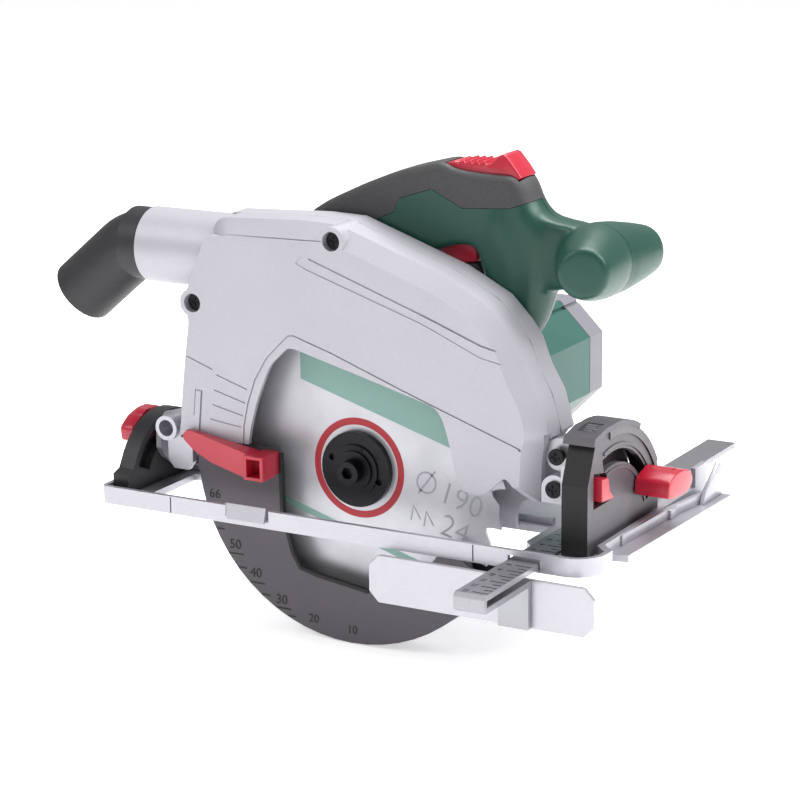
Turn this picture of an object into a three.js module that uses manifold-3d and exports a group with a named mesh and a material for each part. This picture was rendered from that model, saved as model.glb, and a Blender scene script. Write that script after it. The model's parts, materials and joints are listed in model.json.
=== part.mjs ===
// Hand-held circular saw, 190 mm blade, set to its full depth of 66 mm.
// Millimetres, +Z up, +X towards the front of the cut, +Y towards the motor.
// The origin is on the underside of the sole, below the blade spindle.
import * as THREE from "three";
import { mergeVertices } from "three/addons/utils/BufferGeometryUtils.js";
import Module from "manifold-3d";

const wasm = await Module();
wasm.setup();

// ---------- driving dimensions ----------
const gap = 0.3; // between pieces that touch
const running = 0.4; // between pieces that move past each other

const blade = { radius: 95, thickness: 2, bore: 15, teeth: 24, gullet: 9 };
const spindle = { height: 29, offset: 40, radius: 8, tailRadius: 5 };
const flange = { radius: 22.4, thickness: 4, innerFrom: blade.thickness + gap };
const cavity = { radius: 105, from: -13 }; // room for the lower guard in the upper guard
const cover = { near: -17, far: 8, wall: 2.7, chamfer: 9 };
const housing = { far: 24, plateFrom: 14, plate: 3, rim: 3 };
const duct = { y: 7, z: 118, radius: 22.3, bore: 19.8, rear: -142, front: -72 };
const elbow = { legRadius: 20.2, bore: 17.3, collar: 21.5, angle: 40, leg: 52, corner: -155.5 };
const guard = { radius: 103, wall: 2.5, near: -12, far: 10, from: 174, to: 330 };
const sole = { rear: -150, front: 179, halfWidth: 87, floor: 4, rim: 10.5, rimWall: 3 };
const opening = { rear: -126, front: 113, relief: 119.5, far: -21.5 };
const bevel = { y: -31, z: 3 }; // axis about which the saw head tilts
const frontArch = { from: 141.3, to: 157, radius: 67.5, slot: 50.3, slotWidth: 7.7, knobAt: 31.5 };
const rearArch = { from: -146.6, to: -136, radius: 43, slot: 33, slotWidth: 6.6, knobAt: 95 };
const depth = { x: 130, z: 54, arcRadius: 245, arcY: -9.5, arcPlate: 3, slotWidth: 6 };
const guide = { from: 120.5, width: 18.5, plate: 3.5, near: -151, far: 190, z: 2, drop: 7 };
const fence = { from: 38, to: 176, y: -96, plate: 3, top: -1.5, bottom: -29 };
const motor = { near: 50.3, split: 145, far: 168, x: 36, z: 38.1, halfX: 42, halfZ: 38, cut: 20.5,
    wall: 3 };
const gears = { module: 1.2, spindle: 30, pinion: 18, wheel: 31, armature: 10, lean: 42 };
const handle = { middle: 42, half: 15, wall: 3.2, round: 5 };
const grip = { x: 130, z: 126, radius: 21.5, endRadius: 15, length: 37, sweep: 14 };
const armatureCore = { radius: 24, from: 62, to: 112 };

// ---------- finishes ----------
const finishes = {
  aluminium: { color: 0xc9cbd0, roughness: 0.35, metalness: 1 },
  silver: { color: 0xcfcdd2, roughness: 0.45, metalness: 0.3 },
  green: { color: 0x1f5f50, roughness: 0.45, metalness: 0.2 },
  motorGrey: { color: 0x8a888c, roughness: 0.5, metalness: 0.1 },
  charcoal: { color: 0x4b4a4e, roughness: 0.5, metalness: 0.2 },
  black: { color: 0x1b1b1d, roughness: 0.6, metalness: 0 },
  rubber: { color: 0x232325, roughness: 0.8, metalness: 0 },
  red: { color: 0xc2142f, roughness: 0.4, metalness: 0 },
  steel: { color: 0xb9bcc0, roughness: 0.3, metalness: 1 },
  bladeSteel: { color: 0xe4e6ea, roughness: 0.3, metalness: 0.8 },
  darkSteel: { color: 0x2b2b2e, roughness: 0.45, metalness: 0.8 },
  copper: { color: 0xb4683a, roughness: 0.4, metalness: 1 },
  brass: { color: 0xb9974a, roughness: 0.4, metalness: 1 },
};

// ---------- solids ----------
const rad = THREE.MathUtils.degToRad;
const vec = (x, y, z) => new THREE.Vector3(x, y, z);
const far = 1000; // longer than anything here, for cutting tools

// A closed three.js geometry as a solid that can be joined and cut.
function solidOf(geometry) {
  const bare = geometry.clone();
  bare.deleteAttribute("normal");
  bare.deleteAttribute("uv");
  const merged = mergeVertices(bare, 1e-4);
  const index = merged.index.array;
  const triVerts = [];
  for (let i = 0; i < index.length; i += 3) {
    const [a, b, c] = [index[i], index[i + 1], index[i + 2]];
    if (a !== b && b !== c && c !== a) triVerts.push(a, b, c);
  }
  return new wasm.Manifold(new wasm.Mesh({
    numProp: 3,
    vertProperties: new Float32Array(merged.attributes.position.array),
    triVerts: new Uint32Array(triVerts),
  }));
}

function geometryOf(solid) {
  const mesh = solid.getMesh();
  const geometry = new THREE.BufferGeometry();
  geometry.setAttribute("position", new THREE.BufferAttribute(new Float32Array(mesh.vertProperties), 3));
  geometry.setIndex(new THREE.BufferAttribute(new Uint32Array(mesh.triVerts), 1));
  geometry.computeVertexNormals();
  return geometry;
}

const joined = (first, ...others) => others.reduce((sum, other) => sum.add(other), first);
const cut = (first, ...others) => others.reduce((rest, other) => rest.subtract(other), first);

// Outlines along x are drawn in (y, z), along y in (x, z), along z in (x, y).
const frames = {
  x: new THREE.Matrix4().makeBasis(vec(0, 1, 0), vec(0, 0, 1), vec(1, 0, 0)),
  y: new THREE.Matrix4().makeBasis(vec(1, 0, 0), vec(0, 0, 1), vec(0, -1, 0)),
  z: new THREE.Matrix4(),
};
const shapeOf = (points) => new THREE.Shape(points.map(([u, v]) => new THREE.Vector2(u, v)));

function prism(axis, points, from, to) {
  const geometry = new THREE.ExtrudeGeometry(shapeOf(points), { depth: to - from, bevelEnabled: false });
  geometry.applyMatrix4(frames[axis]);
  const start = axis === "y" ? to : from;
  geometry.translate(axis === "x" ? start : 0, axis === "y" ? start : 0, axis === "z" ? start : 0);
  return solidOf(geometry);
}

// A prism along y whose edge at `from`, the side nearest the viewer of the blade, is chamfered.
function casing(points, from, to, chamfer) {
  const geometry = new THREE.ExtrudeGeometry(shapeOf(points), {
    depth: to - from,
    bevelThickness: chamfer,
    bevelSize: chamfer,
    bevelOffset: -chamfer,
    bevelSegments: 1,
  });
  geometry.applyMatrix4(frames.y);
  geometry.translate(0, from + (to - from) + chamfer, 0);
  return cut(solidOf(geometry), box([-far, far], [to, to + far], [-far, far]));
}

function box([x0, x1], [y0, y1], [z0, z1]) {
  const geometry = new THREE.BoxGeometry(x1 - x0, y1 - y0, z1 - z0);
  geometry.translate((x0 + x1) / 2, (y0 + y1) / 2, (z0 + z1) / 2);
  return solidOf(geometry);
}

function rod(axis, radius, from, to, [u, v] = [0, 0], sides = 24, endRadius = radius) {
  const geometry = new THREE.CylinderGeometry(endRadius, radius, to - from, sides);
  if (axis === "x") geometry.rotateZ(-Math.PI / 2).translate((from + to) / 2, u, v);
  if (axis === "y") geometry.translate(u, (from + to) / 2, v);
  if (axis === "z") geometry.rotateX(Math.PI / 2).translate(u, v, (from + to) / 2);
  return solidOf(geometry);
}

const ring = (axis, outer, inner, from, to, centre, sides) =>
  cut(rod(axis, outer, from, to, centre, sides), rod(axis, inner, from - 1, to + 1, centre, sides));

// Points on a circle, in degrees anticlockwise from the first axis of the outline.
function arc(radius, from, to, steps, [u, v] = [0, 0]) {
  const points = [];
  for (let i = 0; i <= steps; i++) {
    const angle = rad(from + ((to - from) * i) / steps);
    points.push([u + radius * Math.cos(angle), v + radius * Math.sin(angle)]);
  }
  return points;
}

// A curved band or slot about a centre.
const band = (inner, outer, from, to, steps, centre) =>
  [...arc(outer, from, to, steps, centre), ...arc(inner, to, from, steps, centre)];

// The outline with every edge moved inwards; the points run anticlockwise.
function inset(points, distance) {
  const lines = points.map((p, i) => {
    const q = points[(i + 1) % points.length];
    const length = Math.hypot(q[0] - p[0], q[1] - p[1]);
    const normal = [-(q[1] - p[1]) / length, (q[0] - p[0]) / length];
    return { p: [p[0] + normal[0] * distance, p[1] + normal[1] * distance], d: [q[0] - p[0], q[1] - p[1]] };
  });
  return lines.map((line, i) => {
    const last = lines[(i + lines.length - 1) % lines.length];
    const cross = last.d[0] * line.d[1] - last.d[1] * line.d[0];
    if (Math.abs(cross) < 1e-6) return line.p;
    const t = ((line.p[0] - last.p[0]) * line.d[1] - (line.p[1] - last.p[1]) * line.d[0]) / cross;
    return [last.p[0] + last.d[0] * t, last.p[1] + last.d[1] * t];
  });
}

function octagon(halfU, halfV, corner, [u, v]) {
  return [
    [u + halfU, v - halfV + corner], [u + halfU, v + halfV - corner],
    [u + halfU - corner, v + halfV], [u - halfU + corner, v + halfV],
    [u - halfU, v + halfV - corner], [u - halfU, v - halfV + corner],
    [u - halfU + corner, v - halfV], [u + halfU - corner, v - halfV],
  ];
}

// Two round ends joined by straight sides.
function stadium(radius, [u0, v0], [u1, v1], steps) {
  const lean = THREE.MathUtils.radToDeg(Math.atan2(v1 - v0, u1 - u0));
  return [...arc(radius, lean - 90, lean + 90, steps, [u1, v1]), ...arc(radius, lean + 90, lean + 270,
      steps, [u0, v0])];
}

function add(group, name, finish, solid) {
  const mesh = new THREE.Mesh(geometryOf(solid), new THREE.MeshStandardMaterial(finishes[finish]));
  mesh.name = name;
  group.add(mesh);
}

// ---------- scene graph ----------
// The saw head's own group has its origin on the spindle axis, at the outer face of the blade.
const saw = new THREE.Group();
const head = new THREE.Group();
head.position.set(0, -spindle.offset, spindle.height);
saw.add(head);

// ---------- base group ----------
function basePlate() {
  const corner = 18;
  const front = 171; // front end of the near corner, ahead of the small step
  const outline = [
    [sole.rear + 5, -sole.halfWidth],
    ...arc(corner, -90, 0, 6, [front - corner, -sole.halfWidth + corner]),
    [front, -62], [164, -56], [164, -50], [174, -48], [sole.front, sole.halfWidth],
    ...arc(5, 90, 180, 3, [sole.rear + 5, sole.halfWidth - 5]),
    ...arc(5, 180, 270, 3, [sole.rear + 5, -sole.halfWidth + 5]).slice(0, -1),
  ];
  const wall = sole.rimWall;
  const tray = [
    [sole.rear + wall, -sole.halfWidth + wall],
    ...arc(corner - wall, -90, 0, 6, [front - corner, -sole.halfWidth + corner]),
    [front - wall, -66], [160, -58], [160, sole.halfWidth - wall], [sole.rear + wall,
    sole.halfWidth - wall],
  ];
  const { rear, relief, far: side } = opening;
  const near = -sole.halfWidth + wall;
  const well = [
    [rear, near], [relief, near], [relief, -58], [opening.front, -50], [opening.front, side], [rear, side],
  ];
  const lever = prism("x", [[near - wall - 1, 3], [near + 1, 8], [near + 1, 20], [near - wall - 1, 20]],
      -62, -33);
  const leverRoom = box([-62, -33], [near - 1.7, near + 1], [-1, 20]);
  const channel = box([guide.from - running, guide.from + guide.width + running], [-far, far],
    [guide.z - running, sole.floor + 20]);
  const rimSlot = box([guide.from - running, guide.from + guide.width + running], [-far, far],
    [guide.z - running, guide.z + guide.plate + 2]);
  const rims = cut(
    prism("z", outline, 0, sole.rim),
    prism("z", tray, sole.floor, sole.rim + 1),
    box([163, far], [-55, far], [sole.floor, far]),
    rimSlot,
  );
  const clampBridge = cut(
    box([guide.from - 5, guide.from + guide.width + 5], [50, 66], [sole.floor - 0.5, 12]),
    channel.intersect(box([-far, far], [-far, far], [-far, 9])),
    rod("z", 3.3, 0, 20, [guide.from + guide.width / 2, 58]),
  );
  const lug = box([160, 163], [70, sole.halfWidth], [0, 22]);
  const ribs = [-100, -40, 20, 80].map((x) => box([x, x + 3], [opening.far + 12, sole.halfWidth - 1], [3,
      7]));
  const wellEdges = [[rear - 8, -32], [32, opening.front]].map((span) =>
    box(span, [opening.far + 5, opening.far + 8], [3, 8]));
  return joined(cut(rims, prism("z", well, -1, far), lever, leverRoom), clampBridge, lug, ...wellEdges,
      ...ribs);
}

function frontQuadrant() {
  const { radius, slot, slotWidth, from, to } = frontArch;
  const centre = [bevel.y, bevel.z];
  const foot = sole.floor + gap;
  const outline = [[29.6, foot], [29.6, 32], ...arc(radius, 30, 94, 10, centre), [-44, 70.3],
    [-52.4, 69], [-55.5, 65], [-64.4, 44], [-64.4, foot]];
  const wall = 4;
  const hollow = inset(outline, wall).map(([y, z]) => [y, z < foot + wall + 1 ? foot - 5 : z]);
  const slotCut = band(slot - slotWidth / 2, slot + slotWidth / 2, 18, 106, 12, centre);
  const latchPocket = [[-57, 30], [-35, 30], [-41, 47], [-57, 50]];
  return cut(
    prism("x", outline, from, to),
    prism("x", hollow, from - 1, to - wall),
    prism("x", slotCut, from - 1, to + 1),
    prism("x", latchPocket, to - wall - 1, to + 1),
  );
}

function rearQuadrant() {
  const { radius, slot, slotWidth, from, to } = rearArch;
  const centre = [bevel.y, bevel.z];
  const foot = sole.floor + gap;
  const outline = [[8, foot], [9, 20], ...arc(radius, 25, 155, 14, centre), [-72, 18], [-78, 16], [-78,
      foot]];
  const slotCut = band(slot - slotWidth / 2, slot + slotWidth / 2, 80, 152, 10, centre);
  const pocket = band(slot - 6, radius - 4, 60, 156, 10, centre);
  return cut(prism("x", outline, from, to), prism("x", slotCut, from - 1, to + 1), prism("x", pocket,
      to - 6, to + 1));
}

function bevelLatch() {
  const x = frontArch.to - 6;
  const body = [[-54.5, 34], [-45, 33], [-38.5, 33], [-44, 38], [-46, 46], [-54.5, 47]];
  const stub = rod("x", 2.5, frontArch.from + 3, x + 1, [-50, 40]);
  return joined(prism("x", body, x, frontArch.to + 4), stub);
}

function guideBar() {
  const { from, width, plate, near, z, drop } = guide;
  const low = z - drop;
  const side = [
    [guide.far, z], [guide.far, z + plate], [near + 2, z + plate], [near, z + plate - 2], [near, low + 2],
    [near + 2, low], [fence.y - plate - gap, low], [fence.y - plate - gap, fence.bottom],
    [fence.y - gap, fence.bottom], [fence.y - gap, low + plate], [near + plate, low + plate],
    [near + plate, z],
  ];
  return prism("x", side, from, from + width);
}

function guideFence() {
  const corner = 6;
  const { from, to, top, bottom } = fence;
  const face = [[from, bottom + corner], [from + corner, bottom], [to - corner, bottom], [to,
      bottom + corner],
    [to, top - corner], [to - corner, top], [from + corner, top], [from, top - corner]];
  return prism("y", face, fence.y, fence.y + fence.plate);
}

function guideScrew() {
  const x = guide.from + guide.width / 2;
  const shank = rod("z", 3, guide.z + guide.plate + gap, 14, [x, 58], 16);
  const knob = cut(rod("z", 9, 13, 22, [x, 58], 12), ...[0, 60, 120, 180, 240, 300].map((turn) =>
    rod("z", 2, 12, 23, [x + 10 * Math.cos(rad(turn)), 58 + 10 * Math.sin(rad(turn))], 8)));
  return joined(shank, knob);
}

add(saw, "base_plate", "aluminium", basePlate());
add(saw, "front_quadrant", "charcoal", frontQuadrant());
add(saw, "rear_quadrant", "charcoal", rearQuadrant());
add(saw, "bevel_stop_latch", "red", bevelLatch());
add(saw, "guide_bar", "steel", guideBar());
add(saw, "guide_fence", "aluminium", guideFence());
add(saw, "guide_clamp_screw", "black", guideScrew());

// ---------- tilting carrier ----------
const onArch = (arch) => [
  bevel.y + arch.slot * Math.cos(rad(arch.knobAt)),
  bevel.z + arch.slot * Math.sin(rad(arch.knobAt)),
];

function frontBracket() {
  const plateFrom = 137.2;
  const plateTo = frontArch.from - running;
  const { x, z } = depth;
  const plate = prism("x", [[-57, 35], [-34, 14], [20, 12], [26, 30], [20, 44], [-5, 58], [-40, 60],
      [-57, 52]],
    plateFrom, plateTo);
  const pivotBlock = joined(
    rod("y", 9.5, -42.7, -36, [x, z]),
    box([x, plateFrom + 1], [-42.7, -36], [z - 9, z + 8]),
  );
  const ear = joined(
    rod("y", 8, -50, -46, [x, z - 17.8]),
    box([x - 8, plateFrom + 1], [-50, -46], [z - 26, z - 17.8]),
    box([x, plateFrom + 1], [-50, -46], [z - 26, z - 11]),
  );
  return cut(
    joined(plate, pivotBlock, ear),
    rod("y", 10, -49.5, -42.9, [x, z]),
    rod("y", 3.3, -60, -30, [x, z], 16),
    rod("y", 2.8, -60, -44, [x, z - 17.8], 16),
    rod("x", 3.6, plateFrom - 1, plateTo + 1, onArch(frontArch), 16),
  );
}

// The depth arc is a slotted strip about the depth pivot, fixed to the rear bracket.
function depthArc() {
  const { x, z, arcRadius, arcY, arcPlate, slotWidth } = depth;
  const centre = [x, z];
  const strip = band(arcRadius - 7, arcRadius + 7, 154, 188, 14, centre);
  const slot = band(arcRadius - slotWidth / 2, arcRadius + slotWidth / 2, 155.2, 184, 14, centre);
  const foot = box([-131.7, x - arcRadius + 4], [arcY, arcY + arcPlate], [24, 40]);
  return joined(cut(prism("y", strip, arcY, arcY + arcPlate), prism("y", slot, arcY - 1, arcY + 4)), foot);
}

function rearBracket() {
  const plate = prism("x", [[-44, 20], [-30, 10], [-20, 10], [-2, 16], [-2, 36], [-20, 44], [-38, 46],
      [-48, 40],
    [-48, 26]], -135.6, -132);
  const web = box([-133, -113.6], [-34, -30], [20, 46]);
  const boss = rod("y", 7.5, -58, -30, [-121.5, 42]);
  const skirt = prism("y", [[-123, 44], [-123, 22], [-119, 17], [-109, 17], [-105.8, 22], [-105.8, 36.5],
    [-113.6, 36.5], [-113.6, 44]], -54, -50);
  return cut(
    joined(plate, web, boss, skirt),
    rod("y", 5, -59, -46, [-121.5, 42]),
    rod("x", 3.6, -137, -131, onArch(rearArch), 16),
  );
}

// A wing knob on its clamping bolt, which runs through the slot of its quadrant.
function wingKnob(arch, boltFrom, boltTo, knobFrom, knobTo, lean) {
  const centre = onArch(arch);
  const [y, z] = centre;
  const across = [Math.cos(rad(lean)), Math.sin(rad(lean))];
  const wing = stadium(5, [y - 14 * across[0], z - 14 * across[1]], [y + 14 * across[0],
      z + 14 * across[1]], 5);
  const hub = rod("x", 9, knobFrom, knobTo, centre, 18);
  return joined(rod("x", 3.2, boltFrom, boltTo, centre, 16), hub, prism("x", wing, knobFrom, knobTo));
}

function panScrew(headRadius, headFrom, headTo, shankRadius, shankTo, centre) {
  const socket = [0, 90].map((turn) => {
    const geometry = new THREE.BoxGeometry(headRadius * 1.1, 1.6, 1.1);
    geometry.rotateY(rad(turn)).translate(centre[0], headFrom, centre[1]);
    return solidOf(geometry);
  });
  const head0 = rod("y", headRadius, headFrom, headTo, centre, 20);
  return joined(cut(head0, ...socket), rod("y", shankRadius, headTo - 0.5, shankTo, centre, 14));
}

add(saw, "front_bracket", "aluminium", frontBracket());
add(saw, "rear_bracket", "aluminium", rearBracket());
add(saw, "depth_arc", "steel", depthArc());
add(saw, "depth_pivot_screw", "darkSteel", panScrew(4.7, -48.7, -46.3, 3, -35, [depth.x, depth.z]));
add(saw, "bracket_screw", "darkSteel", panScrew(4.9, -52, -50.3, 2.5, -45, [depth.x, depth.z - 17.8]));
add(saw, "front_bevel_knob", "red",
  wingKnob(frontArch, frontArch.from - 3.8, frontArch.to + 3, frontArch.to + 0.6, frontArch.to + 22, -8));
add(saw, "rear_bevel_knob", "red",
  wingKnob(rearArch, rearArch.from - 5, rearArch.to + 3.2, rearArch.from - 14, rearArch.from - 4, 8));

// ---------- upper guard and gear housing ----------
// Outer line of the upper guard, anticlockwise from its rear foot.
const silhouette = [
  [-112, 10], [70, 10], [70, -2], [120.5, -2], [121.5, 26], [125.5, 36], [120, 55.7], [111.7, 70],
  [106.2, 84.5],
  [99.3, 93.9], [86.9, 106.5], [60, 120.3], [-6.5, 143.2], [-30, 143.8], [-88, 141], [-104, 99],
  [-108.5, 92], [-103.5, 82], [-107, 58], [-110, 33],
];
const coverScrews = { rear: [-101, 90.6], top: [-6.6, 135] };
const depthPivot = [depth.x, depth.z - spindle.height];
const clampAngle = 182;
const depthClamp = [
  depthPivot[0] + depth.arcRadius * Math.cos(rad(clampAngle)),
  depthPivot[1] + depth.arcRadius * Math.sin(rad(clampAngle)),
];

function guardCover() {
  const { near, far: seam, wall, chamfer } = cover;
  const body = joined(
    casing(silhouette, near, seam, chamfer),
    prism("y", [[-112, 10], [70, 10], [70, -2], [108, -2], [108, 40], [60, 100], [-20, 130], [-90.6, 132],
      [-104, 99], [-108.5, 92], [-103.5, 82], [-107, 58], [-110, 33]], near, seam),
    rod("x", duct.radius, duct.rear, duct.front, [duct.y, duct.z], 36),
  );
  const inside = inset(silhouette, wall).map(([x, z]) => [x, z < 15 ? z - 20 : z]);
  const hollow = cut(
    casing(inside, near + wall, seam + 1, chamfer),
    rod("y", 9, near, seam + 2, coverScrews.rear, 16),
    rod("y", 9, near, seam + 2, coverScrews.top, 16),
  );
  const window_ = [
    [-64.5, 9], [-64.5, -5], [121.5, -5], [121, -0.4], [117, -0.4], [111.3, 3.4], [104, 11], [101.6, 11],
    [92, 2.1], [88, 0], [77, 0.5], [73.5, 3], [72, 10], [68.7, 25.3], [64.1, 40.3], [59, 47], [15, 58.5],
    [-36, 71.5], [-49, 58.8], [-58, 37], [-63, 19],
  ];
  const screwBores = Object.values(coverScrews).flatMap((at) => [
    rod("y", 5.6, near - 3, near + 7, at, 20),
    rod("y", 2.5, near, seam + 1, at, 14),
  ]);
  return cut(
    body,
    hollow,
    rod("y", cavity.radius, cavity.from, seam + 1, [0, 0], 48),
    rod("x", duct.bore, duct.rear - 1, -84, [duct.y, duct.z], 36),
    prism("y", window_, near - 3, near + wall + 0.5),
    rod("y", 10.8, -3.2, seam + 1, depthPivot),
    rod("y", 10.2, -9.4, -3, depthPivot).intersect(box([122, far], [-far, far], [-far, far])),
    ...screwBores,
  );
}

// Lug of the upper guard that turns on the depth pivot screw.
function pivotLug() {
  const [x, z] = depthPivot;
  const outline = [[118.5, 14], ...arc(9.5, -80, 80, 8, [x, z]), [122.5, 36], [118.5, 38]];
  return cut(
    prism("y", outline, -9, -3),
    rod("y", 5.2, -10, -6, [x, z], 20),
    rod("y", 3.3, -10, 0, [x, z], 16),
  );
}

const gearAxes = (() => {
  const near = ((gears.spindle + gears.pinion) / 2) * gears.module;
  const total = near + ((gears.wheel + gears.armature) / 2) * gears.module;
  const at = (distance) => [distance * Math.cos(rad(gears.lean)), distance * Math.sin(rad(gears.lean))];
  return { spindle: [0, 0], counter: at(near), armature: at(total) };
})();
const gearCase = { outer: 24.3, inner: 21.4, from: 17, split: 42 };
const neck = { radius: 18.5, from: 8.8 };
const bearing = { spindleOuter: 16, tailOuter: 9.5, armatureOuter: 10, rearOuter: 11 };

function guardHousing() {
  const { far: back, plateFrom, plate, rim } = housing;
  const seam = cover.far + gap;
  const lowered = silhouette.filter(([, z]) => z > 9 && !(z === 10));
  const plateLine = [[-112, 10], [-75, 10], [-60, -20], [-40, -27], [94.5, -27], [94.5, -19], [98, -10],
    [120.5, -2], ...lowered];
  const rimLine = [[-112, 10], [120.5, 10], ...lowered];
  const rimBody = cut(
    prism("y", rimLine, seam, back),
    prism("y", inset(rimLine, rim).map(([x, z]) => [x, z < 16 ? z - 20 : z]), seam - 1, back + 1),
  );
  const caseOuter = stadium(gearCase.outer, gearAxes.spindle, gearAxes.armature, 12);
  const caseInner = stadium(gearCase.inner, gearAxes.spindle, gearAxes.armature, 12);
  const clampLug = joined(
    rod("y", 7, 18, depth.arcY + spindle.offset - running, depthClamp, 20),
    box([depthClamp[0], -105], [18, back], [depthClamp[1] - 7, depthClamp[1] + 7]),
  );
  const screwPosts = Object.values(coverScrews).map((at) => rod("y", 7, seam, plateFrom + 1, at, 16));
  const caseFrom = plateFrom + plate;
  return cut(
    joined(
      prism("y", plateLine, plateFrom, caseFrom),
      rimBody,
      cut(prism("y", caseOuter, plateFrom, gearCase.split), prism("y", caseInner, caseFrom + 2,
          gearCase.split + 1)),
      rod("y", neck.radius, neck.from, caseFrom, [0, 0], 32),
      rod("y", 22, plateFrom, caseFrom + 2, [0, 0], 24),
      clampLug,
      ...screwPosts,
    ),
    rod("y", bearing.spindleOuter + 0.2, neck.from + 1.2, caseFrom + 2.5, [0, 0], 32),
    rod("y", spindle.radius + 1, 0, 20, [0, 0], 24),
    rod("y", 4.4, plateFrom + 1.5, caseFrom + 3, gearAxes.counter, 16),
    rod("x", duct.radius + running, duct.rear - 3, duct.front + running, [duct.y, duct.z], 36),
    rod("y", 10.8, seam - 1, back + 1, depthPivot),
    rod("y", 2.7, 17, 40, depthClamp, 14),
    ...Object.values(coverScrews).map((at) => rod("y", 2.5, 0, plateFrom - 1, at, 12)),
    rod("x", 4.4, -30, -18, [36, 0], 16),
  );
}

function bearingShield() {
  const outline = stadium(gearCase.outer, gearAxes.spindle, gearAxes.armature, 12);
  const from = gearCase.split + gap;
  const to = motor.near - gap;
  return cut(
    prism("y", outline, from, to),
    rod("y", bearing.tailOuter + 0.2, from - 1, to - 1.5, gearAxes.spindle, 24),
    rod("y", 4.4, from - 1, to - 1.5, gearAxes.counter, 16),
    rod("y", bearing.armatureOuter + 0.2, from - 1, to - 1.5, gearAxes.armature, 24),
    rod("y", 7, from - 1, to + 1, gearAxes.armature, 20),
  );
}

add(head, "guard_cover", "silver", joined(guardCover(), pivotLug()));
add(head, "guard_housing", "silver", guardHousing());
add(head, "bearing_shield", "aluminium", bearingShield());
for (const [place, at] of Object.entries(coverScrews)) {
  add(head, `cover_screw_${place}`, "darkSteel", panScrew(4.8, cover.near + 3.6, cover.near + 6.7, 2.2,
      12, at));
}

// ---------- motor ----------
const motorAxis = [motor.x, motor.z];
const armature = gearAxes.armature;

function motorHousing() {
  const outer = octagon(motor.halfX, motor.halfZ, motor.cut, motorAxis);
  const partition = { from: 134, to: 140 };
  const brushSlots = [-1, 1].map((side) =>
    box([armature[0] + Math.min(side * 12, side * 28), armature[0] + Math.max(side * 12, side * 28)],
      [119, 131], [armature[1] - 5, armature[1] + 5]));
  const shell = cut(
    prism("y", outer, motor.near, motor.split),
    prism("y", inset(outer, motor.wall), motor.near + 2.5, partition.from),
    rod("y", 16, motor.near - 1, motor.near + 4, armature, 28),
    prism("y", inset(outer, motor.wall), partition.to, motor.split + 1),
    rod("y", bearing.rearOuter + 0.2, partition.from - 1, partition.to - 1.5, armature, 24),
    rod("y", 7, partition.from - 1, partition.to + 1, armature, 20),
    ...[-1, 1].map((side) => rod("y", 5, partition.from - 1, partition.to + 1, [armature[0],
        armature[1] + side * 25], 16)),
  );
  return cut(shell, ...brushSlots);
}

function motorCap() {
  const outer = octagon(motor.halfX, motor.halfZ, motor.cut, motorAxis);
  const from = motor.split + gap;
  const geometry = new THREE.ExtrudeGeometry(shapeOf(outer), {
    depth: motor.far - from, bevelThickness: 5, bevelSize: 4, bevelOffset: -4, bevelSegments: 1,
  });
  geometry.applyMatrix4(frames.y).translate(0, motor.far - 5, 0);
  const louvres = [];
  for (let row = -3; row <= 3; row++) {
    louvres.push(box([motor.x - 18, motor.x + 18], [motor.far - 5, motor.far + 1],
      [motor.z + row * 7 - 1.5, motor.z + row * 7 + 1.5]));
  }
  return cut(
    solidOf(geometry),
    box([-far, far], [-far, from], [-far, far]),
    prism("y", inset(outer, motor.wall), from - 1, motor.far - 3),
    ...louvres,
  );
}

function statorCore() {
  const { from, to } = armatureCore;
  const body = cut(rod("y", 32, from, to, armature, 36), rod("y", 25, from - 1, to + 1, armature, 36));
  const coilRoom = [50, 230].map((start) =>
    prism("y", band(24, 29, start, start + 80, 8, armature), from - 1, to + 1));
  return cut(body, ...coilRoom);
}

// A field coil lies in the upper or lower window of the stator core.
function fieldCoil(side) {
  const { from, to } = armatureCore;
  const [x, z] = armature;
  const sector = band(25.4, 28.4, side > 0 ? 52 : 232, side > 0 ? 128 : 308, 8, [x, z]);
  return prism("y", sector, from - 4, to + 4);
}

function brushHolder(side) {
  const [x, z] = armature;
  const span = (a, b) => [x + Math.min(side * a, side * b), x + Math.max(side * a, side * b)];
  return cut(box(span(17, 30), [120, 130], [z - 4.5, z + 4.5]), box(span(16, 29), [122, 128], [z - 2.7,
      z + 2.7]));
}

function carbonBrush(side) {
  const [x, z] = armature;
  return box([x + Math.min(side * 14.4, side * 27), x + Math.max(side * 14.4, side * 27)],
    [122.3, 127.7], [z - 2.4, z + 2.4]);
}

const ballBearing = (outer, inner, from, to, centre) => ring("y", outer, inner, from, to, centre, 28);

add(head, "motor_housing", "green", motorHousing());
add(head, "motor_end_cap", "motorGrey", motorCap());
add(head, "stator_core", "steel", statorCore());
add(head, "field_coil_upper", "copper", fieldCoil(1));
add(head, "field_coil_lower", "copper", fieldCoil(-1));
for (const [place, side] of [["front", 1], ["rear", -1]]) {
  add(head, `brush_holder_${place}`, "brass", brushHolder(side));
  add(head, `carbon_brush_${place}`, "black", carbonBrush(side));
}
add(head, "armature_bearing_front", "steel", ballBearing(bearing.armatureOuter, 4.4, 43, 48, armature));
add(head, "armature_bearing_rear", "steel", ballBearing(bearing.rearOuter, 4.4, 134.3, 138.2, armature));
add(head, "spindle_bearing_front", "steel", ballBearing(bearing.spindleOuter, spindle.radius + gap, 10.3,
    18.5, [0, 0]));
add(head, "spindle_bearing_rear", "steel", ballBearing(bearing.tailOuter, spindle.tailRadius + gap, 42.8,
    48, [0, 0]));

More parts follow.
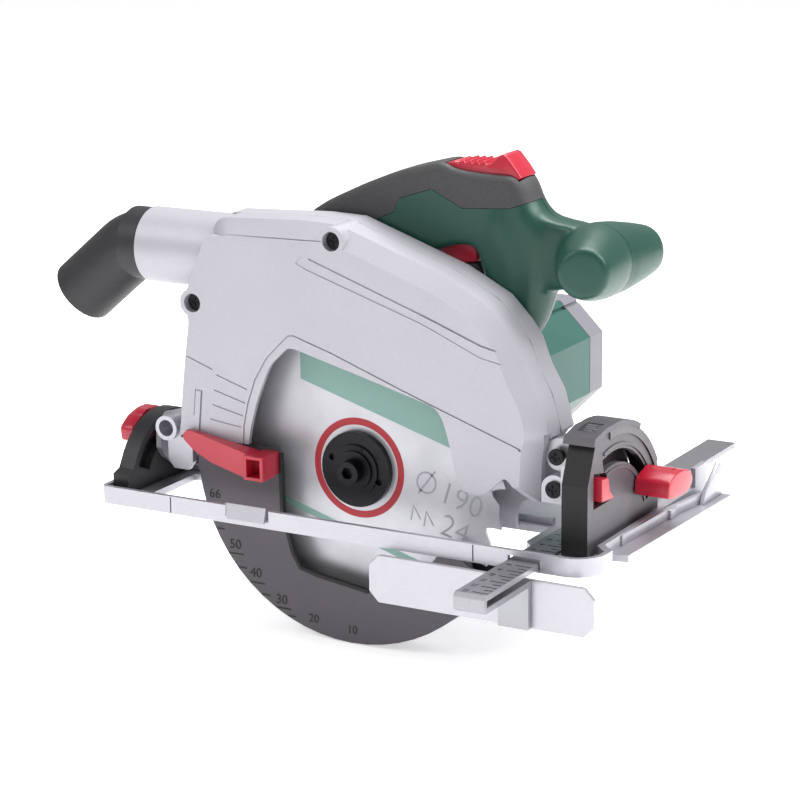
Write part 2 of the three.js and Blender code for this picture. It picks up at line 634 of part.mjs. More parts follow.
// ---------- gears, blade and armature ----------
// A spur gear outline; the first tooth is centred on the angle `phase`.
function gearOutline(teeth, addendum, dedendum, phase, [u, v]) {
  const pitch = (teeth * gears.module) / 2;
  const step = (2 * Math.PI) / teeth;
  const slack = 0.2; // half of the backlash, along the pitch circle
  const half = Math.PI / (2 * teeth) - slack / pitch;
  const lean = Math.tan(rad(20));
  const levels = [[pitch - dedendum, 1], [pitch, 0], [pitch + addendum, -1]];
  const points = [];
  for (let i = 0; i < teeth; i++) {
    const middle = phase + i * step;
    const flank = levels.map(([r, sign]) => {
      const grow = sign * lean * (sign > 0 ? dedendum : addendum);
      return [r, half + grow / r];
    });
    for (const [r, spread] of flank) points.push([u + r * Math.cos(middle - spread),
        v + r * Math.sin(middle - spread)]);
    for (const [r, spread] of flank.reverse()) points.push([u + r * Math.cos(middle + spread),
        v + r * Math.sin(middle + spread)]);
  }
  return points;
}

const lean = rad(gears.lean);
const tooth = { addendum: 0.9 * gears.module, dedendum: 1.15 * gears.module };
const facing = (teeth) => lean + Math.PI + Math.PI / teeth; // a tooth gap faces back along the line of centres

function spindleShaft() {
  const { radius, tailRadius } = spindle;
  return cut(
    joined(
      rod("y", radius, -3.9, 32, [0, 0], 28),
      rod("y", tailRadius, 31, 48, [0, 0], 20),
    ),
    rod("y", 4.3, -5, 15, [0, 0], 18),
  );
}

function innerFlange() {
  const { radius, innerFrom, thickness } = flange;
  return cut(
    joined(rod("y", radius, innerFrom, innerFrom + thickness, [0, 0], 32), rod("y", blade.bore - gap,
        0.2, innerFrom + 1, [0, 0], 28)),
    rod("y", spindle.radius + gap, -1, 10, [0, 0], 28),
  );
}

function sawBlade() {
  const { radius, thickness, bore, teeth, gullet } = blade;
  const step = 360 / teeth;
  const points = [];
  for (let i = 0; i < teeth; i++) {
    const start = -i * step; // the teeth point backwards round the circle, upwards at the front
    for (const [r, turn] of [[radius, 0], [radius - gullet * 0.45, 0.4], [radius - gullet, 1.6],
        [radius - gullet * 0.9, 3.6],
      [radius - 3.4, 6.4], [radius - 3, 10]]) {
      const angle = rad(start - turn);
      points.push([r * Math.cos(angle), r * Math.sin(angle)]);
    }
  }
  return cut(prism("y", points.reverse(), 0, thickness), rod("y", bore, -1, thickness + 1, [0, 0], 32));
}

function outerFlange() {
  const body = joined(
    rod("y", flange.radius, -4.3, -gap, [0, 0], 36),
    rod("y", 15, -5.6, -4, [0, 0], 28),
    rod("y", 11.5, -7.2, -5, [0, 0], 24),
  );
  const pinHoles = [-1, 1].map((side) => rod("y", 2, -8, -2, [side * 16.5 * Math.cos(rad(20)),
      -side * 16.5 * Math.sin(rad(20))], 12));
  return cut(body, rod("y", 4.3, -8, 1, [0, 0], 18), rod("y", spindle.radius + gap, -4.4, 1, [0, 0], 28),
      ...pinHoles);
}

function bladeBolt() {
  const hex = arc(3.6, 0, 300, 5);
  return cut(
    joined(rod("y", 7, -14, -7.5, [0, 0], 24), rod("y", 4, -8, 13, [0, 0], 18)),
    prism("y", hex, -15, -9.5),
  );
}

function countershaft() {
  const centre = gearAxes.counter;
  const pinion = prism("y", gearOutline(gears.pinion, tooth.addendum, tooth.dedendum,
      facing(gears.pinion), centre), 20.5, 30.5);
  return joined(pinion, rod("y", 4, 16.2, 21, centre, 18), rod("y", 7, 30, 41.5, centre, 18), rod("y", 4,
      41, 48, centre, 18));
}

function counterWheel() {
  const centre = gearAxes.counter;
  return cut(
    prism("y", gearOutline(gears.wheel, 0.7 * tooth.addendum, tooth.dedendum, lean, centre), 32, 40),
    rod("y", 7 + gap, 31, 41, centre, 20),
  );
}

function armatureShaft() {
  return joined(
    rod("y", 2.9, 31, 42, armature, 14),
    rod("y", 4.1, 41.6, 61.7, armature, 18),
    rod("y", 6, 61, 134, armature, 18),
    rod("y", 4.1, 133, 138.3, armature, 18),
  );
}

const onShaft = (outline, bore, from, to, centre) => cut(prism("y", outline, from, to), rod("y", bore,
    from - 1, to + 1, centre, 20));

function armatureLaminations() {
  const { radius, from, to } = armatureCore;
  const slots = [];
  for (let i = 0; i < 12; i++) {
    const angle = (i * Math.PI) / 6;
    slots.push(rod("y", 1.6, from - 1, to + 1, [armature[0] + radius * Math.cos(angle),
        armature[1] + radius * Math.sin(angle)], 6));
  }
  return cut(rod("y", radius, from, to, armature, 36), rod("y", 6 + gap, from - 1, to + 1, armature, 20),
      ...slots);
}

function coolingFan() {
  const disc = ring("y", 28, 4.4, 53.3, 54.6, armature, 32);
  const vanes = [];
  for (let i = 0; i < 10; i++) {
    const geometry = new THREE.BoxGeometry(17, 3.4, 1.4);
    geometry.translate(18, 55.9, 0).rotateY((i * Math.PI) / 5).translate(armature[0], 0, armature[1]);
    vanes.push(solidOf(geometry));
  }
  return cut(joined(disc, ...vanes), rod("y", 4.4, 50, 60, armature, 18));
}

add(head, "spindle_shaft", "steel", spindleShaft());
add(head, "spindle_gear", "steel",
  onShaft(gearOutline(gears.spindle, tooth.addendum, tooth.dedendum, lean, [0, 0]), spindle.radius + gap,
      21, 30, [0, 0]));
add(head, "inner_flange", "darkSteel", innerFlange());
add(head, "saw_blade", "bladeSteel", sawBlade());
add(head, "outer_flange", "darkSteel", outerFlange());
add(head, "blade_bolt", "darkSteel", bladeBolt());
add(head, "countershaft", "steel", countershaft());
add(head, "counter_gear", "steel", counterWheel());
add(head, "armature_shaft", "steel", armatureShaft());
add(head, "armature_pinion", "steel",
  onShaft(gearOutline(gears.armature, tooth.addendum, tooth.dedendum, facing(gears.armature), armature),
      3.2, 31.5, 40.5, armature));
add(head, "armature_core", "steel", armatureLaminations());
add(head, "commutator", "copper", ring("y", 14, 6 + gap, 118, 132, armature, 24));
add(head, "cooling_fan", "black", coolingFan());

// ---------- lower guard ----------
function lowerGuard() {
  const { radius, wall, near, far: back, from, to } = guard;
  const face = [
    ...arc(radius, from, to, 26), ...arc(71, to, 280, 6), [-0.2, -68], [-21.9, -64.9], [-33.6, -62],
        [-38.6, -53.4],
    [-41, -44.3], [-45.3, -30.9], [-45.6, -14.7], [-46, 7.6],
  ];
  const backWall = [[0, 0], ...arc(radius, from, to, 26)];
  const hub = rod("y", 28, back - wall, back, [0, 0], 32);
  return cut(
    joined(
      prism("y", face, near, near + 2.3),
      prism("y", band(radius - 3, radius, from, to, 26), near, back),
      prism("y", backWall, back - wall, back),
      hub,
    ),
    rod("y", neck.radius + running, back - wall - 1, back + 1, [0, 0], 32),
  );
}

function guardLever() {
  const near = -32;
  const back = -18.5;
  const socket = box([-58.8, -45.7], [near, back], [-6.7, 7.6]);
  const pocket = box([-56.8, -47.7], [near - 1, near + 10], [-4.9, 5.8]);
  const arm = prism("y", [[-57, -6.6], [-57, 8], [-98, 14.5], [-105, 14.6], [-108, 11.5], [-107, 8.5],
      [-99.9, 3.5],
    [-86, -1.7], [-65, -5.4]], -30, back);
  const slope = prism("z", [[-50, near - 3], [-50, -30.2], [-57, -30.2], [-109, -20.5], [-109,
      near - 3]], -20, 30);
  const root = box([-57, -46.5], [back - 1, guard.near - gap], [-6, 7]);
  return joined(cut(joined(socket, cut(arm, slope)), pocket), root);
}

function returnSpring() {
  const turns = 1.8;
  const coil = 22;
  class Helix extends THREE.Curve {
    getPoint(t, target = vec(0, 0, 0)) {
      const angle = 2 * Math.PI * turns * t;
      return target.set(coil * Math.cos(angle), 11 + 1.9 * t, coil * Math.sin(angle));
    }
  }
  const wire = shapeOf(arc(0.5, 0, 300, 5));
  return solidOf(new THREE.ExtrudeGeometry(wire, { steps: 36, extrudePath: new Helix(),
      bevelEnabled: false }));
}

add(head, "lower_guard", "charcoal", lowerGuard());
add(head, "guard_lever", "red", guardLever());
add(head, "guard_return_spring", "steel", returnSpring());

// ---------- handle ----------
// Seam between the green shells and the soft grip, from the rear forwards.
const gripSeam = [[-66, 108], [-40, 124], [-19, 134], [0.6, 143], [5.3, 151.5], [26, 157.5], [46, 147],
    [77, 151], [93, 156]];
const topLine = [[90, 161], [84, 168], [70, 169.5], [46, 171], [40, 175], [12, 168], [-13, 158], [-40,
    145], [-55, 134], [-67, 117]];
const shellLine = [
  [-66, 108], [-71, 92], [-69, 62], [-60, 42], [-28, 30], [-12, 30], [22, 59], [40, 63], [84, 62], [87,
  71.5],
  [98.2, 86.2], [105.5, 102], [106.5, 111], [108, 126], [112, 140], [107, 146.4], [101, 149], [94, 155.5],
  ...gripSeam.slice(1, 8).reverse(),
];
const fingerHole = [
  [-36, 76], [52, 82], [62, 90], [64, 100], [57, 113], [54.8, 119], [48, 126], [26, 119.4], [4, 121],
  [-22, 113], [-40, 100], [-44, 86],
];
const triggerPivot = [22, 137];

function handleShell(from, to) {
  const { middle, half, wall, round } = handle;
  const near = from < middle - 1;
  const skin = new THREE.ExtrudeGeometry(shapeOf(shellLine), {
    depth: 2 * (half - round), bevelThickness: round, bevelSize: round, bevelOffset: -round,
        bevelSegments: 2,
  });
  skin.applyMatrix4(frames.y).translate(0, middle + half - round, 0);
  const room = [[-50, 112], [-20, 123], [4, 124], [26, 122], [50, 124], [62, 116], [70, 100], [72, 80],
      [92, 92],
    [99, 110], [100, 138], [88, 148], [46, 143], [26, 153], [6, 147], [2, 139], [-19, 130], [-40, 120]];
  const arm = new THREE.LatheGeometry([[0, -2], [grip.radius, -2], [grip.radius, 4], [grip.radius - 1, 14],
    [grip.endRadius + 1.5, grip.length - 5], [grip.endRadius, grip.length - 2], [grip.endRadius - 2,
    grip.length],
    [0, grip.length]].map(([r, y]) => new THREE.Vector2(r, y)), 32);
  if (near) arm.rotateX(Math.PI);
  arm.rotateZ(rad(near ? grip.sweep : -grip.sweep)).translate(grip.x, middle, grip.z);
  const armHollow = new THREE.CylinderGeometry(11, 14, 26, 20);
  if (near) armHollow.rotateX(Math.PI);
  armHollow.translate(0, near ? -12 : 12, 0).rotateZ(rad(near ? grip.sweep : -grip.sweep));
  armHollow.translate(grip.x, middle, grip.z);
  const motorRoom = octagon(motor.halfX + gap, motor.halfZ + gap, motor.cut, motorAxis);
  const stem = prism("y", [[95, 112], [112, 110], [120, 120], [120, 140], [112, 147], [98, 149]],
      middle - 13, middle + 13);
  return cut(
    joined(solidOf(skin), solidOf(arm), stem),
    prism("y", fingerHole, 0, 90),
    prism("y", room, middle - half + wall, middle + half - wall),
    solidOf(armHollow),
    prism("y", motorRoom, motor.near - gap, far),
    prism("y", [[23, 112], [58, 112], [58, 130], [23, 130]], middle - 8, middle + 8),
    rod("x", 8.3, -90, -60, [middle, 78], 20),
    prism("y", [[54, 140], [86, 140], [86, 170], [54, 170]], middle - 6, middle + 6),
    box([-far, far], [-far, from], [-far, far]),
    box([-far, far], [to, far], [-far, far]),
  );
}

function softGrip() {
  const { middle, half, round } = handle;
  const lifted = gripSeam.map(([x, z]) => [x, z + gap * 1.4]);
  const outline = [...lifted, ...topLine];
  const skin = new THREE.ExtrudeGeometry(shapeOf(outline), {
    depth: 2 * (half - round), bevelThickness: round, bevelSize: round, bevelOffset: -round + 0.8,
        bevelSegments: 2,
  });
  skin.applyMatrix4(frames.y).translate(0, middle + half - round, 0);
  const under = prism("y", [[-90, 108 + gap], ...gripSeam.map(([x, z]) => [x, z + gap]), [93, 100], [-90,
      60]], 0, 90);
  const sliderBed = prism("y", [[40.5, 168], [46, 165.5], [88, 164.5], [96, 180], [40.5, 190]],
      middle - 10.5, middle + 10.5);
  const sliderStem = box([54, 86], [middle - 6, middle + 6], [140, 175]);
  return cut(solidOf(skin), under, sliderBed, sliderStem);
}

function trigger() {
  const { middle } = handle;
  const body = [[24.5, 118.5], [33.5, 115], [54, 118.5], [53, 129], [30, 141], [18, 141], [18, 133],
      [24.5, 130]];
  return cut(prism("y", body, middle - 7, middle + 7), rod("y", 2.3, middle - 10, middle + 10,
      triggerPivot, 12));
}

function lockSlider() {
  const { middle } = handle;
  const pad = prism("y", [[41, 169], [46, 166.2], [82, 165.2], [86, 171.5], [79.5, 182], [74, 180], [64,
      174.5]], middle - 10, middle + 10);
  const stem = box([57, 68], [middle - 5, middle + 5], [152, 168]);
  const grooves = [47, 51, 55].map((x) => box([x, x + 1.4], [middle - 11, middle + 11],
      [171 + (x - 47) * 0.35, 190]));
  return cut(joined(pad, stem), ...grooves);
}

const switchModule = () => {
  const { middle } = handle;
  return joined(
    box([-14, 14], [middle - 8, middle + 8], [125, 131.5]),
    box([4, 14], [middle - 7, middle + 7], [131, 138.5]),
  );
};

const cableGland = () => {
  const { middle } = handle;
  return cut(
    joined(rod("x", 8, -82, -62, [middle, 78], 20, 8), rod("x", 5.2, -96, -81, [middle, 78], 20, 6.6)),
    rod("x", 3.6, -97, -61, [middle, 78], 16),
  );
};

const shellSplit = 0.15;
add(head, "handle_shell_near", "green", handleShell(handle.middle - 60, handle.middle - shellSplit));
add(head, "handle_shell_far", "green", handleShell(handle.middle + shellSplit, handle.middle + 60));
add(head, "soft_grip", "rubber", softGrip());
add(head, "switch_module", "black", switchModule());
add(head, "cable_gland", "rubber", cableGland());
add(head, "trigger", "red", trigger());
add(head, "lock_slider", "red", lockSlider());

// ---------- small controls ----------
function spindleLock() {
  return joined(rod("x", 4, -32, -21.5, [36, 0], 16), rod("x", 6.5, -38, -31, [36, 0], 18));
}

function depthLever() {
  const from = depth.arcY + spindle.offset + depth.arcPlate + running;
  const [x, z] = depthClamp;
  const arm = prism("y", stadium(6, [x, z], [x - 4, z + 36], 6), from, from + 6);
  return joined(rod("y", 2.4, 20, from + 1, depthClamp, 14), rod("y", 8, from, from + 9, depthClamp, 20),
      arm);
}

function dustElbow() {
  const { y, z, bore, rear } = duct;
  const { angle, leg, legRadius, corner, collar } = elbow;
  const [turnX, turnZ] = [Math.cos(rad(angle)), Math.sin(rad(angle))];
  const bend = 10;
  // A tube along the duct that bends down and back, `before` and `after` its two ends.
  const tube = (radius, before, after) => {
    const path = new THREE.CurvePath();
    const start = vec(rear + before, y, z);
    const enter = vec(corner + bend, y, z);
    const leave = vec(corner - bend * turnX, y, z - bend * turnZ);
    const end = vec(corner - (leg + after) * turnX, y, z - (leg + after) * turnZ);
    path.add(new THREE.LineCurve3(start, enter));
    path.add(new THREE.QuadraticBezierCurve3(enter, vec(corner, y, z), leave));
    path.add(new THREE.LineCurve3(leave, end));
    const section = shapeOf(arc(radius, 0, 348.75, 31));
    return solidOf(new THREE.ExtrudeGeometry(section, { steps: 18, extrudePath: path,
        bevelEnabled: false }));
  };
  return cut(
    joined(tube(legRadius, -running - 2, 0), rod("x", collar, corner, rear - running, [y, z], 32),
      rod("x", bore - running, rear - 4, rear + 12, [y, z], 32)),
    tube(elbow.bore, 20, 5),
  );
}

add(head, "spindle_lock_button", "black", spindleLock());
add(head, "depth_lever", "red", depthLever());
add(head, "dust_elbow", "black", dustElbow());

export default saw;
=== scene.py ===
import json
import math

import bmesh
import bpy
from mathutils import Matrix, Vector


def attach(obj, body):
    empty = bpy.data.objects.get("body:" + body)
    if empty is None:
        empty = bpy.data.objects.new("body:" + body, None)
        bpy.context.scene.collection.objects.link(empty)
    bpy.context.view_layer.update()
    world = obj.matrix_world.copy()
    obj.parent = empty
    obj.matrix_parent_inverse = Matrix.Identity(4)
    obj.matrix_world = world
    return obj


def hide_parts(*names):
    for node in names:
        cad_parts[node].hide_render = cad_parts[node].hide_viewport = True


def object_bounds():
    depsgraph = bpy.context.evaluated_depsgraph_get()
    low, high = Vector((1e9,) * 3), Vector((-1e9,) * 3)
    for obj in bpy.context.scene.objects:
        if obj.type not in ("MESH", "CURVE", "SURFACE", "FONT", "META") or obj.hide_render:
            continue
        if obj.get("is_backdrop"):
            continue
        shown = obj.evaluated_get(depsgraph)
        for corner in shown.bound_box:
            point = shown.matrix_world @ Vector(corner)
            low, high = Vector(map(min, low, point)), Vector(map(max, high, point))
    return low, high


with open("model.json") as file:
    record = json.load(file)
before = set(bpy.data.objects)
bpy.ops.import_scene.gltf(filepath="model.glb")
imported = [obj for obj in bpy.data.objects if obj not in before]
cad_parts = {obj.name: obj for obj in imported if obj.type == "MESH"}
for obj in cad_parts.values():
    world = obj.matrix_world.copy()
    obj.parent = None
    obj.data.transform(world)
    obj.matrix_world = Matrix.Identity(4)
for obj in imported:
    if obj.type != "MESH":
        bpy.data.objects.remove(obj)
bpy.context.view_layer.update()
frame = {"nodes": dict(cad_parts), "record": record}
scene = bpy.context.scene
mm = 0.001
headAt = Vector((0.0, -40.0, 29.0))  # spindle axis at the blade's outer face, in mm
baseAt = Vector((0.0, 0.0, 0.0))
bodyOf = {n: b for b, names in frame["record"]["behaviour"]["bodies"].items() for n in names}


# The camera's turn about the spindle, in degrees, and its distance and shifts in metres.
cameraView = {"azimuth": 29.381, "elevation": 14.457, "roll": -0.554, "distance": 1.53846,
              "across": 0.023568, "up": 0.039099, "lens": 119.98}


def makeCamera(v):
    az, el, roll = (math.radians(v[k]) for k in ("azimuth", "elevation", "roll"))
    back = Vector((math.sin(az) * math.cos(el), -math.cos(az) * math.cos(el), math.sin(el)))
    side = (-back).cross(Vector((0, 0, 1))).normalized()
    top = side.cross(-back)
    right = side * math.cos(roll) + top * math.sin(roll)
    up = -side * math.sin(roll) + top * math.cos(roll)
    data = bpy.data.cameras.new("camera")
    data.lens = v["lens"]
    data.sensor_width = 36
    data.clip_end = 20
    camera = bpy.data.objects.new("camera", data)
    scene.collection.objects.link(camera)
    place = headAt * mm + back * v["distance"] + right * v["across"] + up * v["up"]
    camera.matrix_world = Matrix.Translation(place) @ Matrix((right, up, back)).transposed().to_4x4()
    scene.camera = camera


makeCamera(cameraView)
print("camera ready")


# An sRGB hex colour turned to linear.
def linear(code):
    values = [int(code[i:i + 2], 16) / 255 for i in (1, 3, 5)]
    return (*[c / 12.92 if c <= 0.04045 else ((c + 0.055) / 1.055) ** 2.4 for c in values], 1.0)


def addNode(material, kind, settings=None, links=None):
    node = material.node_tree.nodes.new(kind)
    for key, value in (settings or {}).items():
        if isinstance(key, str) and hasattr(node, key):
            setattr(node, key, value)
        else:
            node.inputs[key].default_value = value
    for key, source in (links or {}).items():
        material.node_tree.links.new(source, node.inputs[key])
    return node


def newMaterial(name):
    material = bpy.data.materials.new(name)
    material.use_nodes = True
    return material, material.node_tree.nodes["Principled BSDF"]


def connect(material, source, target):
    material.node_tree.links.new(source, target)


driftMm = 40  # how slowly the tone wanders over a surface


# A surface with a fine grain, a slow drift of tone and a roughness that wanders with both.
def surface(name, look):
    material, shader = newMaterial(name)
    where = addNode(material, "ShaderNodeTexCoord").outputs["Object"]
    stretched = addNode(material, "ShaderNodeMapping", {"Scale": look.get("stretch", (1, 1, 1))},
                        {"Vector": where})
    grain = addNode(material, "ShaderNodeTexNoise", {"Scale": 1 / (look["grainMm"] * mm), "Detail": 3.0},
                    {"Vector": stretched.outputs[0]})
    drift = addNode(material, "ShaderNodeTexNoise", {"Scale": 1 / (driftMm * mm), "Detail": 2.0},
                    {"Vector": where})
    tone = addNode(material, "ShaderNodeMix", {"data_type": "RGBA", 6: linear(look["colour"]),
                                               7: linear(look["drift"])}, {0: drift.outputs[0]})
    speck = addNode(material, "ShaderNodeMix", {"data_type": "RGBA", "blend_type": "MULTIPLY",
                                                7: linear(look.get("speck", "#ffffff"))},
                    {0: grain.outputs[0], 6: tone.outputs[2]})
    connect(material, speck.outputs[2], shader.inputs["Base Color"])
    low, high = look["roughness"]
    rough = addNode(material, "ShaderNodeMapRange", {"From Min": 0.3, "From Max": 0.7, "To Min": low,
                                                     "To Max": high}, {"Value": grain.outputs[0]})
    connect(material, rough.outputs[0], shader.inputs["Roughness"])
    bump = addNode(material, "ShaderNodeBump", {"Strength": look["bump"], "Distance": look["bumpMm"] * mm},
                   {"Height": grain.outputs[0]})
    connect(material, bump.outputs[0], shader.inputs["Normal"])
    shader.inputs["Metallic"].default_value = look.get("metallic", 0.0)
    if "ior" in look:
        shader.inputs["IOR"].default_value = look["ior"]
    if "coat" in look:
        shader.inputs["Coat Weight"].default_value = look["coat"]
        shader.inputs["Coat Roughness"].default_value = 0.25
    return material


looks = {
    # Powder coat on a die casting: an even satin grey with a fine orange peel.
    "powderCoat": {"colour": "#b9b7bf", "drift": "#c1bfc6", "speck": "#eeeef0", "grainMm": 0.9,
                   "roughness": (0.38, 0.52), "bump": 0.22, "bumpMm": 0.12, "metallic": 0.25},
    # Die cast and milled aluminium: bright, with fine marks drawn along the sole.
    "milledAluminium": {"colour": "#c4c3c9", "drift": "#bdbcc3", "speck": "#eeeef0", "grainMm": 0.5,
                        "stretch": (0.12, 1, 1), "roughness": (0.34, 0.44), "bump": 0.06, "bumpMm": 0.04,
                        "metallic": 0.7},
    # Rolled steel strip: crosswise rolling marks.
    "rolledSteel": {"colour": "#b5b5b9", "drift": "#a8a8ad", "speck": "#cfcfd2", "grainMm": 0.4,
                    "stretch": (1, 0.1, 1), "roughness": (0.28, 0.45), "bump": 0.15, "bumpMm": 0.05,
                    "metallic": 0.9},
    # Glass filled polyamide with a metallic tint, spark-eroded mould texture.
    "greenPolyamide": {"colour": "#17473c", "drift": "#1b4f43", "speck": "#dfe8e5", "grainMm": 0.7,
                       "roughness": (0.34, 0.48), "bump": 0.25, "bumpMm": 0.1, "metallic": 0.12, "coat": 0.1},
    # The same polyamide on the motor, a touch lighter and flatter.
    "motorPolyamide": {"colour": "#356259", "drift": "#396a62", "speck": "#e6ecea", "grainMm": 0.7,
                       "roughness": (0.36, 0.5), "bump": 0.2, "bumpMm": 0.1, "metallic": 0.15},
    # The motor's end cap, in a lighter grey polyamide.
    "greyPolyamide": {"colour": "#85838a", "drift": "#8d8b92", "speck": "#ececee", "grainMm": 0.7,
                      "roughness": (0.38, 0.52), "bump": 0.2, "bumpMm": 0.1, "metallic": 0.1},
    # Stove enamel over a steel pressing: dark grey with a coarse hammered grain.
    "darkEnamel": {"colour": "#58545a", "drift": "#5f5a61", "speck": "#d4d2d5", "grainMm": 0.8,
                   "roughness": (0.42, 0.58), "bump": 0.3, "bumpMm": 0.12, "metallic": 0.2},
    # Moulded black polyamide: deep grey in the light, soft highlight.
    "blackPolyamide": {"colour": "#242327", "drift": "#29282c", "speck": "#dcdcde", "grainMm": 0.7,
                       "roughness": (0.4, 0.55), "bump": 0.25, "bumpMm": 0.1},
    # The quadrant's near wall: its polyamide painted the deepest black as shade, quite matt.
    "quadrantShadeBlack": {"colour": "#0c0b0c", "drift": "#100f11", "grainMm": 0.7, "roughness": (0.45, 0.6),
                  "bump": 0.2,
                  "bumpMm": 0.1},
    # The quadrant's moulded front: a mid grey polyamide with a faint sheen.
    "charcoalPolyamide": {"colour": "#5b585e", "drift": "#625f65", "speck": "#dcdcde", "grainMm": 0.7,
                          "roughness": (0.36, 0.5), "bump": 0.25, "bumpMm": 0.1, "metallic": 0.1},
    # Thermoplastic rubber overmould: matt, with a leather-fine grain.
    "softRubber": {"colour": "#454547", "drift": "#4a4a4c", "speck": "#cfcfd0", "grainMm": 0.9,
                   "roughness": (0.5, 0.66), "bump": 0.35, "bumpMm": 0.14},
    # Glossy moulded acetal in crimson.
    "redAcetal": {"colour": "#b31430", "drift": "#bb1934", "speck": "#ffffff", "grainMm": 0.5,
                  "roughness": (0.3, 0.33), "bump": 0.01, "bumpMm": 0.05, "coat": 0.25},
    # Chemically blackened steel: near black with a metal glint.
    "blackenedSteel": {"colour": "#232125", "drift": "#2a282c", "speck": "#bdbdc0", "grainMm": 0.5,
                       "roughness": (0.3, 0.44), "bump": 0.12, "bumpMm": 0.05, "metallic": 0.75},
    # Turned and ground steel: bright, with little texture.
    "turnedSteel": {"colour": "#bcbdc1", "drift": "#b2b3b7", "speck": "#dcdcde", "grainMm": 0.3,
                    "roughness": (0.2, 0.34), "bump": 0.08, "bumpMm": 0.03, "metallic": 1.0},
    # Lacquered copper wire, wound close: coarse ridges.
    "woundCopper": {"colour": "#b46a3c", "drift": "#a85f34", "speck": "#c9b3a6", "grainMm": 0.6,
                    "stretch": (1, 0.15, 1), "roughness": (0.3, 0.45), "bump": 0.4, "bumpMm": 0.2,
                    "metallic": 0.9},
    # Stamped brass: warm, with a soft sheen.
    "stampedBrass": {"colour": "#b9974a", "drift": "#ad8c43", "speck": "#ddd6c4", "grainMm": 0.5,
                     "roughness": (0.28, 0.4), "bump": 0.1, "bumpMm": 0.05, "metallic": 1.0},
    # Pad printing ink, thin and slightly satin.
    "greyInk": {"colour": "#9a9aa2", "drift": "#a2a2aa", "grainMm": 0.5, "roughness": (0.5, 0.6),
                "bump": 0.05,
                "bumpMm": 0.02},
    # Dark matt filler for joints, beads and engraved marks.
    "shadowLine": {"colour": "#1a1a1c", "drift": "#202022", "grainMm": 0.6, "roughness": (0.6, 0.75),
                   "bump": 0.1,
                   "bumpMm": 0.05},
}
materials = {name: surface(name, look) for name, look in looks.items()}

# Ground and lacquered saw steel with its printed ring and bands; all sizes in mm about the bore.
bladePrint = {"ring": (25.6, 29.8), "red": "#a81226", "teal": "#7fa49b", "steel": "#d3d3d8",
              "dark": "#a9a9b0", "grindMm": 1.2, "blotchMm": 26, "far": 300,
              "slope": -0.300, "bandFrom": -38.5, "bandLow": 37.2,
              "lowBandTop": -38.6, "lowBandLow": -42.8}


def bladeMaterial(look):
    material, shader = newMaterial("printedSawSteel")
    where = addNode(material, "ShaderNodeTexCoord").outputs["Object"]
    centred = addNode(material, "ShaderNodeVectorMath", {"operation": "SUBTRACT", 1: headAt * mm}, {0: where})
    parts = addNode(material, "ShaderNodeSeparateXYZ", None, {0: centred.outputs[0]})
    flat = addNode(material, "ShaderNodeCombineXYZ", None, {"X": parts.outputs["X"], "Y": parts.outputs["Z"]})
    reach = addNode(material, "ShaderNodeVectorMath", {"operation": "LENGTH"}, {0: flat.outputs[0]})
    radius = reach.outputs["Value"]
    rings = addNode(material, "ShaderNodeCombineXYZ", None, {"X": radius})
    grind = addNode(material, "ShaderNodeTexNoise", {"Scale": 1 / (look["grindMm"] * mm), "Detail": 4.0},
                    {"Vector": rings.outputs[0]})
    blotch = addNode(material, "ShaderNodeTexNoise", {"Scale": 1 / (look["blotchMm"] * mm), "Detail": 3.0},
                     {"Vector": where})
    steel = addNode(material, "ShaderNodeMix", {"data_type": "RGBA", 6: linear(look["steel"]),
                                                7: linear(look["dark"])}, {0: blotch.outputs[0]})

    def test(value, low, high):
        above = addNode(material, "ShaderNodeMath", {"operation": "GREATER_THAN", 1: low * mm}, {0: value})
        below = addNode(material, "ShaderNodeMath", {"operation": "LESS_THAN", 1: high * mm}, {0: value})
        return addNode(material, "ShaderNodeMath", {"operation": "MULTIPLY"},
                       {0: above.outputs[0], 1: below.outputs[0]})

    fall = addNode(material, "ShaderNodeMath", {"operation": "MULTIPLY_ADD", 1: -look["slope"]},
                   {0: parts.outputs["X"], 2: parts.outputs["Z"]}).outputs[0]
    inRing = test(radius, *look["ring"])
    inside = test(parts.outputs["X"], look["bandFrom"], look["far"])
    inBand = addNode(material, "ShaderNodeMath", {"operation": "MULTIPLY"},
                     {0: test(fall, look["bandLow"], look["far"]).outputs[0], 1: inside.outputs[0]})
    inLow = test(fall, look["lowBandLow"], look["lowBandTop"])
    teal = addNode(material, "ShaderNodeMath", {"operation": "MAXIMUM"},
                   {0: inBand.outputs[0], 1: inLow.outputs[0]})
    withTeal = addNode(material, "ShaderNodeMix", {"data_type": "RGBA", 7: linear(look["teal"])},
                       {0: teal.outputs[0], 6: steel.outputs[2]})
    withRed = addNode(material, "ShaderNodeMix", {"data_type": "RGBA", 7: linear(look["red"])},
                      {0: inRing.outputs[0], 6: withTeal.outputs[2]})
    connect(material, withRed.outputs[2], shader.inputs["Base Color"])
    printed = addNode(material, "ShaderNodeMath", {"operation": "MAXIMUM"},
                      {0: teal.outputs[0], 1: inRing.outputs[0]})
    metal = addNode(material, "ShaderNodeMapRange", {"To Min": 0.55, "To Max": 0.0},
                    {"Value": printed.outputs[0]})
    connect(material, metal.outputs[0], shader.inputs["Metallic"])
    rough = addNode(material, "ShaderNodeMapRange", {"From Min": 0.3, "From Max": 0.7, "To Min": 0.32,
                                                     "To Max": 0.46}, {"Value": grind.outputs[0]})
    connect(material, rough.outputs[0], shader.inputs["Roughness"])
    bump = addNode(material, "ShaderNodeBump", {"Strength": 0.12, "Distance": 0.04 * mm},
                   {"Height": grind.outputs[0]})
    connect(material, bump.outputs[0], shader.inputs["Normal"])
    return material


materials["printedSawSteel"] = bladeMaterial(bladePrint)
print("materials ready")


